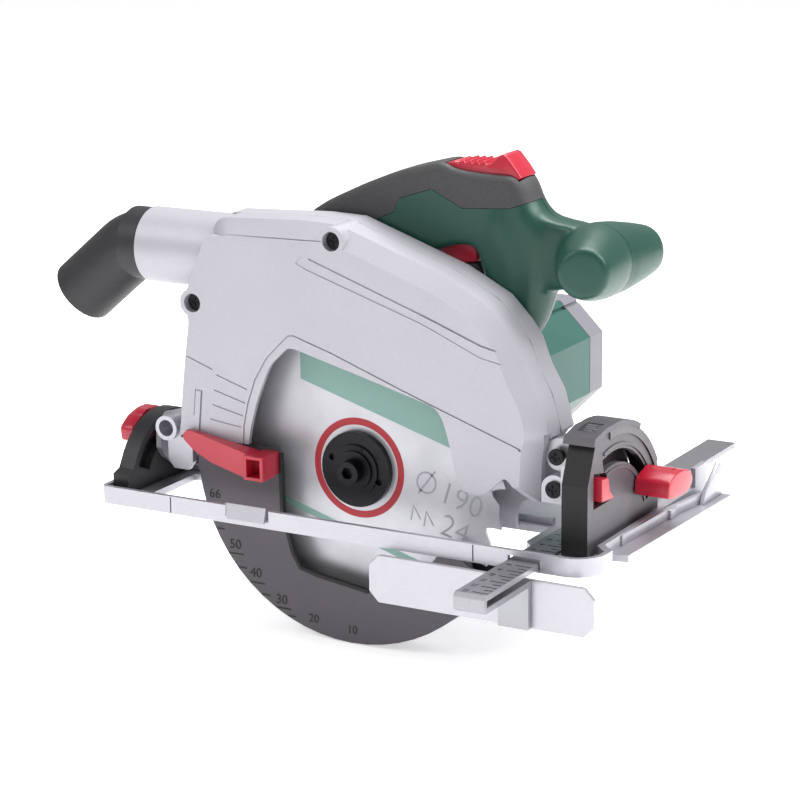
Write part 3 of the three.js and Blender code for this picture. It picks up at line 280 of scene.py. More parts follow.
# Points along an arc, angles in degrees.
def arc(radius, start, end, steps, centre=(0, 0)):
    turns = [math.radians(start + (end - start) * i / steps) for i in range(steps + 1)]
    return [(centre[0] + radius * math.cos(t), centre[1] + radius * math.sin(t)) for t in turns]


# Each corner of the outline becomes a short arc-like run of points.
def rounded(points, radius, steps=4, keep=()):
    out = []
    for i, p in enumerate(points):
        before, after = Vector(points[i - 1]), Vector(points[(i + 1) % len(points)])
        here = Vector(p)
        if i in keep:
            out.append(tuple(here))
            continue
        reach = min(radius, (before - here).length * 0.45, (after - here).length * 0.45)
        a = here + (before - here).normalized() * reach
        c = here + (after - here).normalized() * reach
        for s in range(steps + 1):
            t = s / steps
            q = a * (1 - t) ** 2 + here * 2 * t * (1 - t) + c * t * t
            out.append((q.x, q.y))
    return out


def inset(points, distance):
    out = []
    for i, p in enumerate(points):
        before, here, after = (Vector(points[i - 1]), Vector(p), Vector(points[(i + 1) % len(points)]))
        one, two = (here - before).normalized(), (after - here).normalized()
        middle = Vector((-one.y - two.y, one.x + two.x))
        if middle.length < 1e-6:
            middle = Vector((-one.y, one.x))
        middle.normalize()
        stretch = max(0.35, middle.dot(Vector((-one.y, one.x))))
        q = here + middle * distance / stretch
        out.append((q.x, q.y))
    return out


axes = {"x": Matrix(((0, 0, 1), (1, 0, 0), (0, 1, 0))), "y": Matrix(((1, 0, 0), (0, 0, 1), (0, 1, 0))),
        "z": Matrix.Identity(3)}


# An outline in mm, drawn across the axis and given thickness along it.
def slab(points, axis, start, end, edge=0.0, steps=3):
    bm = bmesh.new()
    turn = axes[axis]
    face = bm.faces.new([bm.verts.new(turn @ Vector((u, v, start))) for u, v in points])
    grown = bmesh.ops.extrude_face_region(bm, geom=[face])
    moved = [v for v in grown["geom"] if isinstance(v, bmesh.types.BMVert)]
    bmesh.ops.translate(bm, verts=moved, vec=turn @ Vector((0, 0, end - start)))
    bmesh.ops.recalc_face_normals(bm, faces=bm.faces)
    if edge:
        along = turn @ Vector((0, 0, 1))
        rims = []
        for e in bm.edges:
            level = [v.co.dot(along) for v in e.verts]
            if abs(level[0] - level[1]) <= 1e-5:
                rims.append(e)
        bmesh.ops.bevel(bm, geom=rims, offset=edge, offset_type="OFFSET", segments=steps, profile=0.5,
                        affect="EDGES", material=-1, clamp_overlap=True)
    return bm


# A profile of (radius, along) pairs in mm, turned about the axis through the centre.
def turned(profile, axis, centre=(0, 0), steps=48):
    bm = bmesh.new()
    turn = axes[axis]
    points = [bm.verts.new(turn @ Vector((centre[0] + r, centre[1], a))) for r, a in profile]
    edges = [bm.edges.new(pair) for pair in zip(points, points[1:])]
    middle = turn @ Vector((centre[0], centre[1], 0))
    bmesh.ops.spin(bm, geom=points + edges, cent=middle, axis=turn @ Vector((0, 0, 1)), angle=math.tau,
                   steps=steps, use_merge=True)
    bmesh.ops.remove_doubles(bm, verts=bm.verts, dist=1e-4)
    bmesh.ops.recalc_face_normals(bm, faces=bm.faces)
    return bm


def rod(axis, radius, start, end, centre=(0, 0), steps=32):
    return turned([(0, start), (radius, start), (radius, end), (0, end)], axis, centre, steps)


def blockOf(x, y, z, edge=0.0):
    bm = bmesh.new()
    bmesh.ops.create_cube(bm, size=1)
    bmesh.ops.scale(bm, verts=bm.verts, vec=(x[1] - x[0], y[1] - y[0], z[1] - z[0]))
    bmesh.ops.translate(bm, verts=bm.verts, vec=((x[0] + x[1]) / 2, (y[0] + y[1]) / 2, (z[0] + z[1]) / 2))
    if edge:
        bmesh.ops.bevel(bm, geom=bm.edges, offset=edge, offset_type="OFFSET", segments=2, profile=0.5,
                        affect="EDGES", material=-1)
    return bm


def objectOf(bm, name="tool"):
    mesh = bpy.data.meshes.new(name)
    bm.to_mesh(mesh)
    bm.free()
    obj = bpy.data.objects.new(name, mesh)
    scene.collection.objects.link(obj)
    return obj


def drop(obj):
    mesh = obj.data
    bpy.data.objects.remove(obj)
    bpy.data.meshes.remove(mesh)


# The object's modifiers are made part of its mesh.
def bake(obj):
    bpy.context.view_layer.update()
    graph = bpy.context.evaluated_depsgraph_get()
    mesh = bpy.data.meshes.new_from_object(obj.evaluated_get(graph))
    old = obj.data
    obj.modifiers.clear()
    obj.data = mesh
    bpy.data.meshes.remove(old)
    return obj


def carve(obj, cutter, how="DIFFERENCE"):
    tool = cutter if isinstance(cutter, bpy.types.Object) else objectOf(cutter)
    step = obj.modifiers.new("cut", "BOOLEAN")
    step.operation = how
    step.solver = "EXACT"
    step.object = tool
    bake(obj)
    drop(tool)
    return obj


def merged(*parts):
    bm = bmesh.new()
    for part in parts:
        mesh = bpy.data.meshes.new("part")
        part.to_mesh(mesh)
        part.free()
        bm.from_mesh(mesh)
        bpy.data.meshes.remove(mesh)
    return bm


def bmeshOf(obj):
    bm = bmesh.new()
    bm.from_mesh(obj.data)
    return bm


def transformed(bm, matrix):
    bmesh.ops.transform(bm, matrix=matrix, verts=bm.verts)
    return bm


# Sharp corners get a small worn edge, and the shading follows the larger faces.
def soften(obj, width, angle=28):
    obj.data.polygons.foreach_set("use_smooth", [True] * len(obj.data.polygons))
    obj.data.set_sharp_from_angle(angle=math.radians(angle))
    if width:
        edge = obj.modifiers.new("edge", "BEVEL")
        edge.width = width
        edge.segments = 2
        edge.limit_method = "ANGLE"
        edge.angle_limit = math.radians(angle)
        edge.use_clamp_overlap = True
        edge.harden_normals = True
    return obj


# Puts a piece made in mm into the row frame, dresses it and hands it to its body.
def settle(obj, name, material, nodes=(), origin=None, body=None, edge=0.3, angle=28):
    start = headAt if origin is None else origin
    obj.data.transform(Matrix.Scale(mm, 4) @ Matrix.Translation(start))
    obj.name = name
    obj.data.materials.clear()
    obj.data.materials.append(materials[material])
    soften(obj, edge * mm, angle)
    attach(obj, body or bodyOf[nodes[0]])
    if nodes:
        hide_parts(*nodes)
    return obj


# A copy of a built node in mm, its flat faces joined up again.
def cadCopy(node):
    bm = bmesh.new()
    bm.from_mesh(frame["nodes"][node].data)
    bmesh.ops.remove_doubles(bm, verts=bm.verts, dist=1e-6)
    bmesh.ops.dissolve_limit(bm, angle_limit=math.radians(0.8), verts=bm.verts, edges=bm.edges)
    bmesh.ops.transform(bm, matrix=Matrix.Scale(1 / mm, 4), verts=bm.verts)
    return bm


# Rings of points in mm at rising levels along the axis, skinned one to the next and closed at both ends.
def loft(rings, axis):
    bm = bmesh.new()
    turn = axes[axis]
    loops = [[bm.verts.new(turn @ Vector((u, v, level))) for u, v in points] for level, points in rings]
    for low, high in zip(loops, loops[1:]):
        for i in range(len(low)):
            j = (i + 1) % len(low)
            bm.faces.new((low[i], low[j], high[j], high[i]))
    bm.faces.new(loops[0])
    bm.faces.new(loops[-1])
    bmesh.ops.recalc_face_normals(bm, faces=bm.faces)
    return bm


# A groove cutter that follows a line on a plane across Y.
def groove(points, wide, low, high):
    left, right = [], []
    for i, p in enumerate(points):
        here = Vector(p)
        back = Vector(points[max(i - 1, 0)])
        ahead = Vector(points[min(i + 1, len(points) - 1)])
        along = (ahead - back).normalized()
        side = Vector((-along.y, along.x)) * wide / 2
        left.append(tuple(here + side))
        right.append(tuple(here - side))
    return slab(left + right[::-1], "y", low, high)


# Lettering in mm that stands on a plane facing -Y, its foot at the given place.
def label(text, size, place, level, lean=0.0, thick=0.12, facing="y", thin=0.0):
    curve = bpy.data.curves.new("label", "FONT")
    curve.body = text
    curve.size = size
    curve.extrude = thick
    curve.resolution_u = 3
    curve.offset = -thin
    curve.align_x = "CENTER"
    curve.align_y = "CENTER"
    holder = bpy.data.objects.new("label", curve)
    scene.collection.objects.link(holder)
    bpy.context.view_layer.update()
    mesh = bpy.data.meshes.new_from_object(holder.evaluated_get(bpy.context.evaluated_depsgraph_get()))
    bm = bmesh.new()
    bm.from_mesh(mesh)
    bpy.data.objects.remove(holder)
    bpy.data.curves.remove(curve)
    bpy.data.meshes.remove(mesh)
    bmesh.ops.rotate(bm, verts=bm.verts, matrix=Matrix.Rotation(math.radians(lean), 3, "Z"))
    if facing == "y":
        bmesh.ops.rotate(bm, verts=bm.verts, matrix=Matrix.Rotation(math.radians(90), 3, "X"))
        bmesh.ops.translate(bm, verts=bm.verts, vec=(place[0], level, place[1]))
    else:
        bmesh.ops.translate(bm, verts=bm.verts, vec=(place[0], place[1], level))
    return bm


# Upper guard: a die-cast cover with its duct, screw pockets, rib lines and plain face. Sizes in mm.
coverLook = {
    "outline": [(-112, 10), (70, 10), (70, -2), (120.5, -2), (121.5, 26), (125.5, 36), (120, 55.7),
                (111.7, 70), (106.2, 84.5), (99.3, 93.9), (86.9, 106.5), (60, 120.3), (-6.5, 143.2),
                (-30, 143.8), (-88, 141), (-104, 99), (-108.5, 92), (-103.5, 82), (-107, 58), (-110, 33)],
    "near": -17.0, "seam": 8.0, "chamfer": 9.0, "wall": 2.7,
    "window": [(-64.5, 9), (-64.5, -5), (121.5, -5), (121, -0.4), (117, -0.4), (111.3, 3.4), (104, 11),
               (101.6, 11), (92, 2.1), (88, 0), (77, 0.5), (73.5, 3), (72, 10), (68.7, 25.3),
               (64.1, 40.3), (59, 47), (15, 58.5), (-36, 71.5), (-49, 58.8), (-58, 37), (-63, 19)],
    "screws": [(-101, 90.6), (-6.6, 135)],
    "inner": [(-112, 10), (70, 10), (70, -2), (108, -2), (108, 40), (60, 100), (-20, 130), (-90.6, 132),
              (-104, 99), (-108.5, 92), (-103.5, 82), (-107, 58), (-110, 33)],
    "duct": {"centre": (7, 118), "radius": 22.3, "bore": 19.8, "end": -142},
    "hidden": 40,  # how far the hollow runs on below the open foot
    # Each engraved line: its points, its width and its depth.
    "lines": [
        ([(-68.2, 4), (-67.1, 21.3), (-64.1, 34.7), (-58.9, 49.4), (-50.5, 63.3), (-36.2, 77.6), (-33, 78.4),
          (-7.1, 70.6), (37.5, 54.6), (112.3, 29.2)], 0.9, 0.9),
        ([(-21.4, 123.8), (50.3, 99.1), (56.4, 97), (87.5, 85.4), (102.3, 82), (112, 85)], 1.2, 1.1),
        ([(-24.1, 117.8), (50.2, 94), (56.4, 91.6), (87.5, 78.4), (102.3, 75.6), (110.8, 79.5)], 0.5, 0.6),
        ([(-107.5, 59), (-88.1, 52.3)], 0.8, 0.7), ([(-85.4, 49.4), (-64.6, 42.9)], 0.8, 0.7),
        ([(-87.5, 40.2), (-66, 34.6)], 0.8, 0.7), ([(-88.7, 31.2), (-67.7, 26.8)], 0.8, 0.7),
        ([(-90.4, 22.2), (-69.2, 19.8)], 0.8, 0.7), ([(-100.6, 38.9), (-95.6, 38.6)], 0.7, 0.6),
        ([(-96, 38.6), (-98.3, 14)], 1.3, 1.1), ([(-100.4, 38.6), (-102, 23)], 0.5, 0.5),
        ([(-87.6, 132.9), (-13, 134.6)], 0.6, 0.8)],
    "field": [(-30.6, 120.6), (-26, 125.2), (-21.4, 123.8), (50.3, 99.1), (50.2, 94), (-24.1, 117.8)],
}


def makeCover(look):
    near, seam, chamfer, wall = look["near"], look["seam"], look["chamfer"], look["wall"]

    def line(by, lowered=0, radius=7):
        points = [(u, v - (lowered if i < 4 else 0)) for i, (u, v) in enumerate(inset(look["outline"], by))]
        return rounded(points, radius, 4, keep=(0, 1, 2, 3))

    body = objectOf(loft([(near, line(chamfer)), (near + chamfer, line(0)), (seam, line(0))], "y"))
    carve(body, slab(rounded(look["inner"], 5, 3, keep=(0, 1, 2, 3)), "y", near, seam - 1), "UNION")
    duct = look["duct"]
    carve(body, rod("x", duct["radius"], duct["end"], -72, duct["centre"], 64), "UNION")
    for u, v in look["screws"]:
        carve(body, rod("y", 8.4, near + 0.01, seam - 1, (u, v), 40), "UNION")
    mouth = line(wall, look["hidden"])
    hollow = objectOf(loft([(near + wall, line(chamfer + wall, look["hidden"])), (near + wall + chamfer, mouth),
                            (seam + 1, mouth)], "y"))
    for u, v in look["screws"]:
        carve(hollow, rod("y", 9, near, seam + 2, (u, v), 24))
    carve(body, hollow)
    carve(body, rod("y", 105, -13, seam + 1, (0, 0), 96))
    carve(body, rod("x", duct["bore"], duct["end"] - 1, -84, duct["centre"], 48))
    carve(body, slab(rounded(look["window"], 5, 4, keep=(0, 1, 2, 3, 4)), "y", near - 3, near + wall + 0.5))
    for u, v in look["screws"]:
        pocket = rod("y", 5.6, near - 3, near + 7, (u, v), 32)
        carve(body, merged(pocket, rod("y", 2.5, near + 6.9, seam + 1, (u, v), 20)))
    carve(body, rod("y", 10.8, -3.2, seam + 1, (130, 25), 40))
    carve(body, slab([(123, 13), (141, 13), (141, 37), (123, 37)], "y", -9.4, -3))
    for points, wide, depth in look["lines"]:
        carve(body, groove(points, wide, near - 1, near + depth))
    carve(body, slab(rounded(look["field"][::-1], 2), "y", near - 1, near + 0.35))
    carve(body, slab([(111.6, -18.2), (123.2, -6.6), (122.5, -5.9), (110.9, -16.2)], "z", 28.2, 29.0))
    settle(body, "guard_cover_finished", "powderCoat", ("guard_cover",), edge=0.6, angle=24)


makeCover(coverLook)
print("cover ready")


# Handle: two green shells with a soft rubber back and a crosswise front grip.
handleLook = {
    "middle": 42.0, "half": 15.0,
    "outer": [(-66, 108), (-71, 92), (-69, 62), (-60, 42), (-28, 30), (-12, 30), (22, 59), (40, 63), (84, 62),
              (87, 71.5), (98.2, 86.2), (104, 102), (105, 111), (106, 126), (108, 140), (104, 147.4),
              (99, 152), (95.5, 158), (91.5, 167), (87, 171.5), (70, 171), (46, 172.8), (40, 176.8),
              (12, 169.6), (-13, 159.4), (-40, 146.4), (-55, 135), (-66, 119)],
    "hole": [(-36, 76), (56, 80), (68, 90), (71.5, 101), (66.1, 113.5), (63.8, 122), (60.6, 130.6),
             (50.5, 130.4), (36, 126), (28, 121), (4, 121), (-22, 113), (-40, 100), (-44, 86)],
    "seam": [(-90, 102), (-62, 110), (-36, 125.4), (-14, 136), (9.4, 146.2), (13, 154.4), (34, 161.4),
             (53.6, 151.8), (83, 154), (96, 158.4), (112, 164)],
    "room": [(-50, 112), (-20, 123), (4, 124), (26, 122), (50, 128), (64, 128), (74, 100), (76, 84), (90, 92),
             (94, 110), (94, 136), (84, 146), (46, 143), (26, 151), (6, 147), (2, 139), (-19, 130),
             (-40, 120)],
    "ridge": [(74, 66), (86, 68), (93, 88), (95, 108), (94, 128), (90, 142), (84, 150), (76, 150), (72, 140),
              (74, 90)],
    "neck": [(84, 104), (98, 109), (110, 108), (122, 111), (130, 116), (130, 142), (122, 146), (112, 147),
             (104, 148.2), (96, 152), (84, 158)],
    "motorRoom": [(-6.3, 14), (14.2, -0.5), (57.8, -0.5), (78.3, 20), (78.3, 56.2), (57.8, 76.4),
                  (14.2, 76.4), (-6.3, 56.2)],
    "sliderBed": [(40.2, 168.4), (46, 165.2), (83, 164.2), (88.4, 170), (96, 190), (40.2, 190)],
    "gripAt": (130, 126), "gripSweep": 14, "farReach": 1.12,
    "voxel": 1.35,
    "arm": [(0, -3), (21.3, -3), (21.3, 4), (20.4, 12), (18.8, 20), (17, 28), (15.4, 34), (14.2, 38),
            (12.8, 39.6), (0, 40)],
}


# Fresh even faces over the whole body.
def reskin(body, voxel):
    remesh = body.modifiers.new("skin", "REMESH")
    remesh.mode = "VOXEL"
    remesh.voxel_size = voxel
    return bake(body)


# Melts the joins of a body together: fresh faces, then so many passes of smoothing.
def melt(body, voxel, passes):
    reskin(body, voxel)
    smooth = body.modifiers.new("soft", "SMOOTH")
    smooth.factor = 0.5
    smooth.iterations = passes
    return bake(body)


def handleForm(look):
    middle, half = look["middle"], look["half"]
    outer = rounded(inset(look["outer"], -0.6), 8, 3)
    body = objectOf(slab(outer, "y", middle - half - 0.3, middle + half + 0.3))
    carve(body, slab(rounded(look["ridge"], 8, 3), "y", middle - half - 2.2, middle + half + 2.2), "UNION")
    carve(body, slab(rounded(look["hole"], 5, 4), "y", middle - 40, middle + 40))
    reskin(body, look["voxel"])
    for v in body.data.vertices:  # the nose narrows towards its front
        ahead = min(1.0, max(0.0, (v.co.x - 70) / 26))
        v.co.x -= 7.5 * ahead * ((v.co.y - middle) / half) ** 2
    carve(body, slab(rounded(look["neck"], 6, 3), "y", middle - 11.5, middle + 11.5), "UNION")
    melt(body, look["voxel"], 40)
    for side in (1, -1):
        reach = look["farReach"] if side > 0 else 1.0
        arm = turned([(r, along * reach) for r, along in look["arm"]], "z", (0, 0), 48)
        lean = Matrix.Rotation(math.radians(-90 * side), 4, "X")
        sweep = Matrix.Rotation(math.radians(-look["gripSweep"] * side), 4, "Z")
        place = Matrix.Translation((look["gripAt"][0], middle, look["gripAt"][1]))
        carve(body, transformed(arm, place @ sweep @ lean), "UNION")
    return melt(body, look["voxel"], 5)


def makeHandle(look):
    middle = look["middle"]
    body = handleForm(look)
    carve(body, slab(look["room"], "y", middle - 11.2, middle + 11.2))
    carve(body, slab(look["motorRoom"], "y", 49.9, 200))
    carve(body, blockOf((23, 62), (middle - 8, middle + 8), (112, 133)))
    carve(body, rod("x", 8.4, -90, -60, (middle, 78), 32))
    carve(body, slab(look["sliderBed"], "y", middle - 10.6, middle + 10.6))
    carve(body, blockOf((54, 72), (middle - 6, middle + 6), (138, 172)))
    seam = look["seam"]
    above = seam + [(112, 200), (-90, 200)]
    below = [(u, v - 0.3) for u, v in seam] + [(220, 161), (220, 0), (-90, 0)]
    rubber = objectOf(bmeshOf(body))
    carve(rubber, slab(above, "y", -20, 100), "INTERSECT")
    carve(body, slab(below, "y", -60, 140), "INTERSECT")
    far = objectOf(bmeshOf(body))
    carve(body, blockOf((-300, 300), (-200, middle - 0.2), (-300, 300)), "INTERSECT")
    carve(far, blockOf((-300, 300), (middle + 0.2, 300), (-300, 300)), "INTERSECT")
    settle(rubber, "soft_grip_finished", "softRubber", ("soft_grip",), edge=0, angle=34)
    settle(body, "handle_shell_near_finished", "greenPolyamide", ("handle_shell_near",), edge=0, angle=34)
    settle(far, "handle_shell_far_finished", "greenPolyamide", ("handle_shell_far",), edge=0, angle=34)


makeHandle(handleLook)
print("handle ready")


# Switch slider: a ribbed rear ramp and a thumb hump.
sliderLook = {
    "outline": [(40.8, 169.2), (46, 166.2), (82, 165.2), (88, 170.6), (84, 176), (78.4, 182.4), (76.2, 183.2),
                (74, 182), (69, 177.4), (65.8, 176.6), (64.8, 178.8), (61.4, 176.6), (60.4, 178.8),
                (57, 176.6), (56, 178.6), (52.6, 176.6), (51.6, 178.4), (48, 176.6), (46, 177.4),
                (41, 176)],
    "sides": (32, 52), "stem": ((57, 68), (37, 47), (152, 167)),
}


def makeSlider(look):
    body = objectOf(slab(look["outline"][::-1], "y", *look["sides"], 1.6, 2))
    carve(body, blockOf(*look["stem"]), "UNION")
    settle(body, "lock_slider_finished", "redAcetal", ("lock_slider",), edge=0.35)


makeSlider(sliderLook)


# Trigger: a finger pad under the handle's top bar, with a dark block on its underside that is painted shade.
triggerLook = {
    "outline": [(25, 120), (36, 115.2), (47, 118), (59, 119.6), (58.4, 128), (52, 133), (33, 142), (18, 142),
                (18, 133)],
    "sides": (35, 49), "pin": (22, 137), "pinRadius": 2.3,
    # The dark block under the trigger: painted shade where the handle's far side lies in shadow.
    "pad": [(37.5, 115.3), (47, 117.6), (58.6, 119), (62.4, 113), (57, 109.6), (46, 111)],
            "padSides": (36, 48),
}


def makeTrigger(look):
    body = objectOf(slab(rounded(look["outline"], 2, 2), "y", *look["sides"], 1.6, 3))
    carve(body, rod("y", look["pinRadius"], 30, 54, look["pin"], 20))
    settle(body, "trigger_finished", "redAcetal", ("trigger",), edge=0.3)
    # A near-black block on the trigger's underside, put there as painted shade.
    pad = objectOf(slab(rounded(look["pad"], 1.5, 2), "y", *look["padSides"], 1.2, 2))
    settle(pad, "trigger_pad", "blackPolyamide", body="trigger", edge=0)


makeTrigger(triggerLook)


# Tilt knobs: a hub with a swept wing. Places are in mm from the sole's origin.
knobLook = {
    "wing": [(-17, -6), (-17, 3), (-8, 7.4), (2, 8.6), (12, 7.4), (17, 3), (16, -2), (8, -6), (-3, -6.6),
             (-9, -7.4)],
    "hub": 9, "bolt": 3.2,
    "front_bevel_knob": {"centre": (11.9, 29.3), "span": (157.6, 179), "hubSpan": (157.6, 174),
                         "boltSpan": (137.5, 160), "lean": -8},
    "rear_bevel_knob": {"centre": (-33.9, 35.9), "span": (-160, -150.6), "hubSpan": (-156, -150.6),
                        "boltSpan": (-151.6, -132.8), "lean": 8},
}


def makeKnob(node, look):
    own = look[node]
    centre = own["centre"]
    bm = slab(rounded(look["wing"], 2.5, 3), "x", *own["span"], 1.2, 3)
    bmesh.ops.rotate(bm, verts=bm.verts, matrix=Matrix.Rotation(math.radians(own["lean"]), 3, "X"))
    bmesh.ops.translate(bm, verts=bm.verts, vec=(0, *centre))
    body = objectOf(bm)
    carve(body, rod("x", look["hub"], *own["hubSpan"], centre, 40), "UNION")
    carve(body, rod("x", look["bolt"], *own["boltSpan"], centre, 24), "UNION")
    settle(body, node + "_finished", "redAcetal", (node,), origin=baseAt, edge=0.3)


makeKnob("front_bevel_knob", knobLook)
makeKnob("rear_bevel_knob", knobLook)


# Swinging lower guard: enamelled, with a depth scale and a beaded cut-out.
guardLook = {
    "face": -12.12, "rim": 102.4,
    "numbers": [("66", -92, -25), ("50", -78.5, -54.5), ("40", -64.5, -70), ("30", -47, -84),
                ("20", -25, -92.2), ("10", 1, -95)],
    "ticks": (-32, -46, -60, -68, -76, -82.5, -89, -93), "longTicks": (-32, -60, -76, -89),
    "bead": [(-46, 6), (-45.6, -14.7), (-45.3, -30.9), (-41, -44.3), (-38.6, -53.4), (-33.6, -62),
             (-21.9, -64.9), (-0.2, -68), (12.3, -69.9)],
}


def makeLowerGuard(look):
    body = objectOf(cadCopy("lower_guard"))
    settle(body, "lower_guard_finished", "darkEnamel", ("lower_guard",), origin=baseAt, edge=0.5)
    marks = []
    for text, u, v in look["numbers"]:
        size = 8.2 if v > -90 else 7.2
        marks.append(label(text, size, (u, v), look["face"]))
    for v in look["ticks"]:
        start = -math.sqrt(look["rim"] ** 2 - v * v)
        reach = 10 if v in look["longTicks"] else 5.5
        marks.append(blockOf((start, start + reach), (-12.22, -12), (v - 0.35, v + 0.35)))
    settle(objectOf(merged(*marks)), "depth_marks", "shadowLine", body="lower_guard",
           edge=0)
    bead = objectOf(groove(look["bead"], 2.6, -12.9, -9.9))
    settle(bead, "cutout_bead", "shadowLine", body="lower_guard", edge=0.5)


makeLowerGuard(guardLook)


# Printed size marks on the blade: the diameter, the number of teeth and two tooth signs.
marksLook = {
    "face": -0.06, "thick": 0.05, "height": 19, "thin": 0.22,
    "numbers": [("190", (66.5, -11)), ("24", (62.5, -29))],
    "ringAt": (44.2, -3.1), "ring": (5.5, 6.6), "stroke": [(38.6, -10.4), (49.8, 4.2)], "strokeWide": 1.1,
    "tooth": [(34, -26.6), (35.6, -17.6), (40.2, -25.4)], "toothStep": 8.4, "toothWide": 1.0,
}


def makeBladeMarks(look):
    face, thick = look["face"], look["thick"]
    lean = math.degrees(math.atan(-0.3))
    parts = [label(text, look["height"], at, face, lean, thick, thin=look["thin"])
             for text, at in look["numbers"]]
    small, large = look["ring"]
    ringMark = turned([(small, -thick), (large, -thick), (large, thick), (small, thick), (small, -thick)], "y",
                      look["ringAt"], 40)
    bmesh.ops.translate(ringMark, verts=ringMark.verts, vec=(0, face, 0))
    parts += [ringMark, groove(look["stroke"], look["strokeWide"], face - thick, face + thick)]
    for shift in (0, look["toothStep"]):
        tooth = [(u + shift, v - 0.3 * shift) for u, v in look["tooth"]]
        parts.append(groove(tooth, look["toothWide"], face - thick, face + thick))
    settle(objectOf(merged(*parts)), "blade_size_marks", "greyInk", body="blade",
           edge=0)


makeBladeMarks(marksLook)


# Front quadrant: an arch with raised ribs, a cap and a scale window.
quadrantLook = {
    "centre": (-31, 3), "face": 156.5,
    # Each rib: inner and outer radius, first and last angle, and the level it stands up to.
    "ribs": [(62.4, 67.6, 31, 96, 157.9), (56, 57.6, 20, 104, 157.7), (43, 44.4, 20, 104, 157.7)],
    "capFoot": [(-60, 66), (-58, 70.2), (-44, 73.2)], "capBack": [(-44.4, 69.8), (-56, 66.5)],
    # shadeBelow: the level in metres under which the near wall takes painted shade.
    "window": [(-51, 69), (-51, 75), (-37, 76), (-37, 72.6)], "shadeBelow": 0.068, "ticks": 6,
}


def makeFrontQuadrant(look):
    body = objectOf(cadCopy("front_quadrant"))
    centre = look["centre"]
    for inner, outer, start, end, level in look["ribs"]:
        rib = arc(inner, start, end, 40, centre) + arc(outer, end, start, 40, centre)
        carve(body, slab(rib, "x", look["face"], level), "UNION")
    cap = look["capFoot"] + arc(70.2, 94, 62, 10, centre) + arc(67, 62, 94, 10, centre) + look["capBack"]
    carve(body, slab(cap[::-1], "x", 139.6, 158.4), "UNION")
    carve(body, slab(look["window"], "x", 144, 154))
    settle(body, "front_quadrant_finished", "charcoalPolyamide", ("front_quadrant",), origin=baseAt, edge=0.6)
    body.data.materials.append(materials["quadrantShadeBlack"])
    for face in body.data.polygons:  # the wall on the blade's side, below a level, is painted near black as shade
        face.material_index = int(face.normal.y < -0.6 and face.center.z < look["shadeBelow"])
    marks = []
    for i in range(look["ticks"]):
        y, z = -49.6 + 2 * i, 69.4 + 0.514 * i
        marks.append(blockOf((145, 153 if i % 3 == 0 else 150), (y, y + 0.5), (z, z + 0.5)))
    settle(objectOf(merged(*marks)), "tilt_scale", "greyInk", body="base",
           origin=baseAt, edge=0)


makeFrontQuadrant(quadrantLook)


# Sole trim: rim joints, the near tab, the front ledges and the guide's scale.
soleLook = {
    "tabFoot": [(-60, -87.1), (-35, -87.1), (-35, -89.6), (-60, -89.6)],
    "tabTop": [(-62.5, -86.9), (-34, -86.9), (-34, -88.2), (-60, -88.2)],
    "rail": [(161.2, -34), (164, -34), (166.2, 27), (173.2, 84), (170.4, 84), (163.4, 27)],
    "ear": [(58, 4), (86.6, 4), (86.6, 22.5), (81, 24.5), (62, 11)],
    "joints": (-100, 98.7), "scaleFrom": -146, "scaleStep": 5, "scaleCount": 26, "scaleGap": (-92, -80),
}


def makeSoleTrim(look):
    tab = loft([(3.2, look["tabFoot"]), (12.4, look["tabTop"])], "z")
    rails = merged(slab(look["rail"], "z", 4, 10.2, 0.4, 2), blockOf((162, 168), (24, 33), (4, 9.4), 0.3),
                   slab(look["ear"], "x", 170.6, 173.2, 0.4, 2))
    settle(objectOf(rails), "front_ledge_rails", "milledAluminium", body="base",
           origin=baseAt, edge=0)
    settle(objectOf(tab), "near_rim_tab", "milledAluminium", body="base",
           origin=baseAt, edge=0.4)
    joints = [blockOf((u - 0.3, u + 0.3), (-87.15, -86.5), (0.6, 10)) for u in look["joints"]]
    settle(objectOf(merged(*joints)), "rim_joints", "shadowLine", body="base",
           origin=baseAt, edge=0)
    marks = []
    for i in range(look["scaleCount"]):
        y = look["scaleFrom"] + look["scaleStep"] * i
        if look["scaleGap"][0] < y < look["scaleGap"][1]:
            continue
        reach = 9 if i % 2 == 0 else 5
        marks.append(blockOf((138.6 - reach, 138.6), (y - 0.35, y + 0.35), (5.48, 5.62)))
        if i % 2 == 0:
            marks.append(label(str(13 - i // 2), 4.6, (125.6, y), 5.56, 90, 0.05, "z"))
    settle(objectOf(merged(*marks)), "guide_scale", "shadowLine", body="guide",
           origin=baseAt, edge=0)


makeSoleTrim(soleLook)


# Motor: one long groove along its upper facet, and a dark ring of painted shade in the joint with its end cap.
motorLook = {
    "groove": [(61.2, 73.8), (62.8, 75.4), (64.6, 73.6), (60.9, 70.6), (59.3, 72.2)],
    "motor_housing": {"material": "motorPolyamide", "groove": (96, 150), "edge": 1.2},
    "motor_end_cap": {"material": "greyPolyamide", "groove": (140, 166), "edge": 0.8},
    "axis": (36, 38.1), "shadeRingHalf": 41.4, "shadeRingTall": 37.4, "shadeRingCorner": 20.3,
}


def makeMotorPiece(node, look):
    own = look[node]
    body = objectOf(cadCopy(node))
    cutter = slab(look["groove"][::-1], "y", *own["groove"])
    carve(body, transformed(cutter, Matrix.Translation(headAt)))
    settle(body, node + "_finished", own["material"], (node,), origin=baseAt, edge=own["edge"])


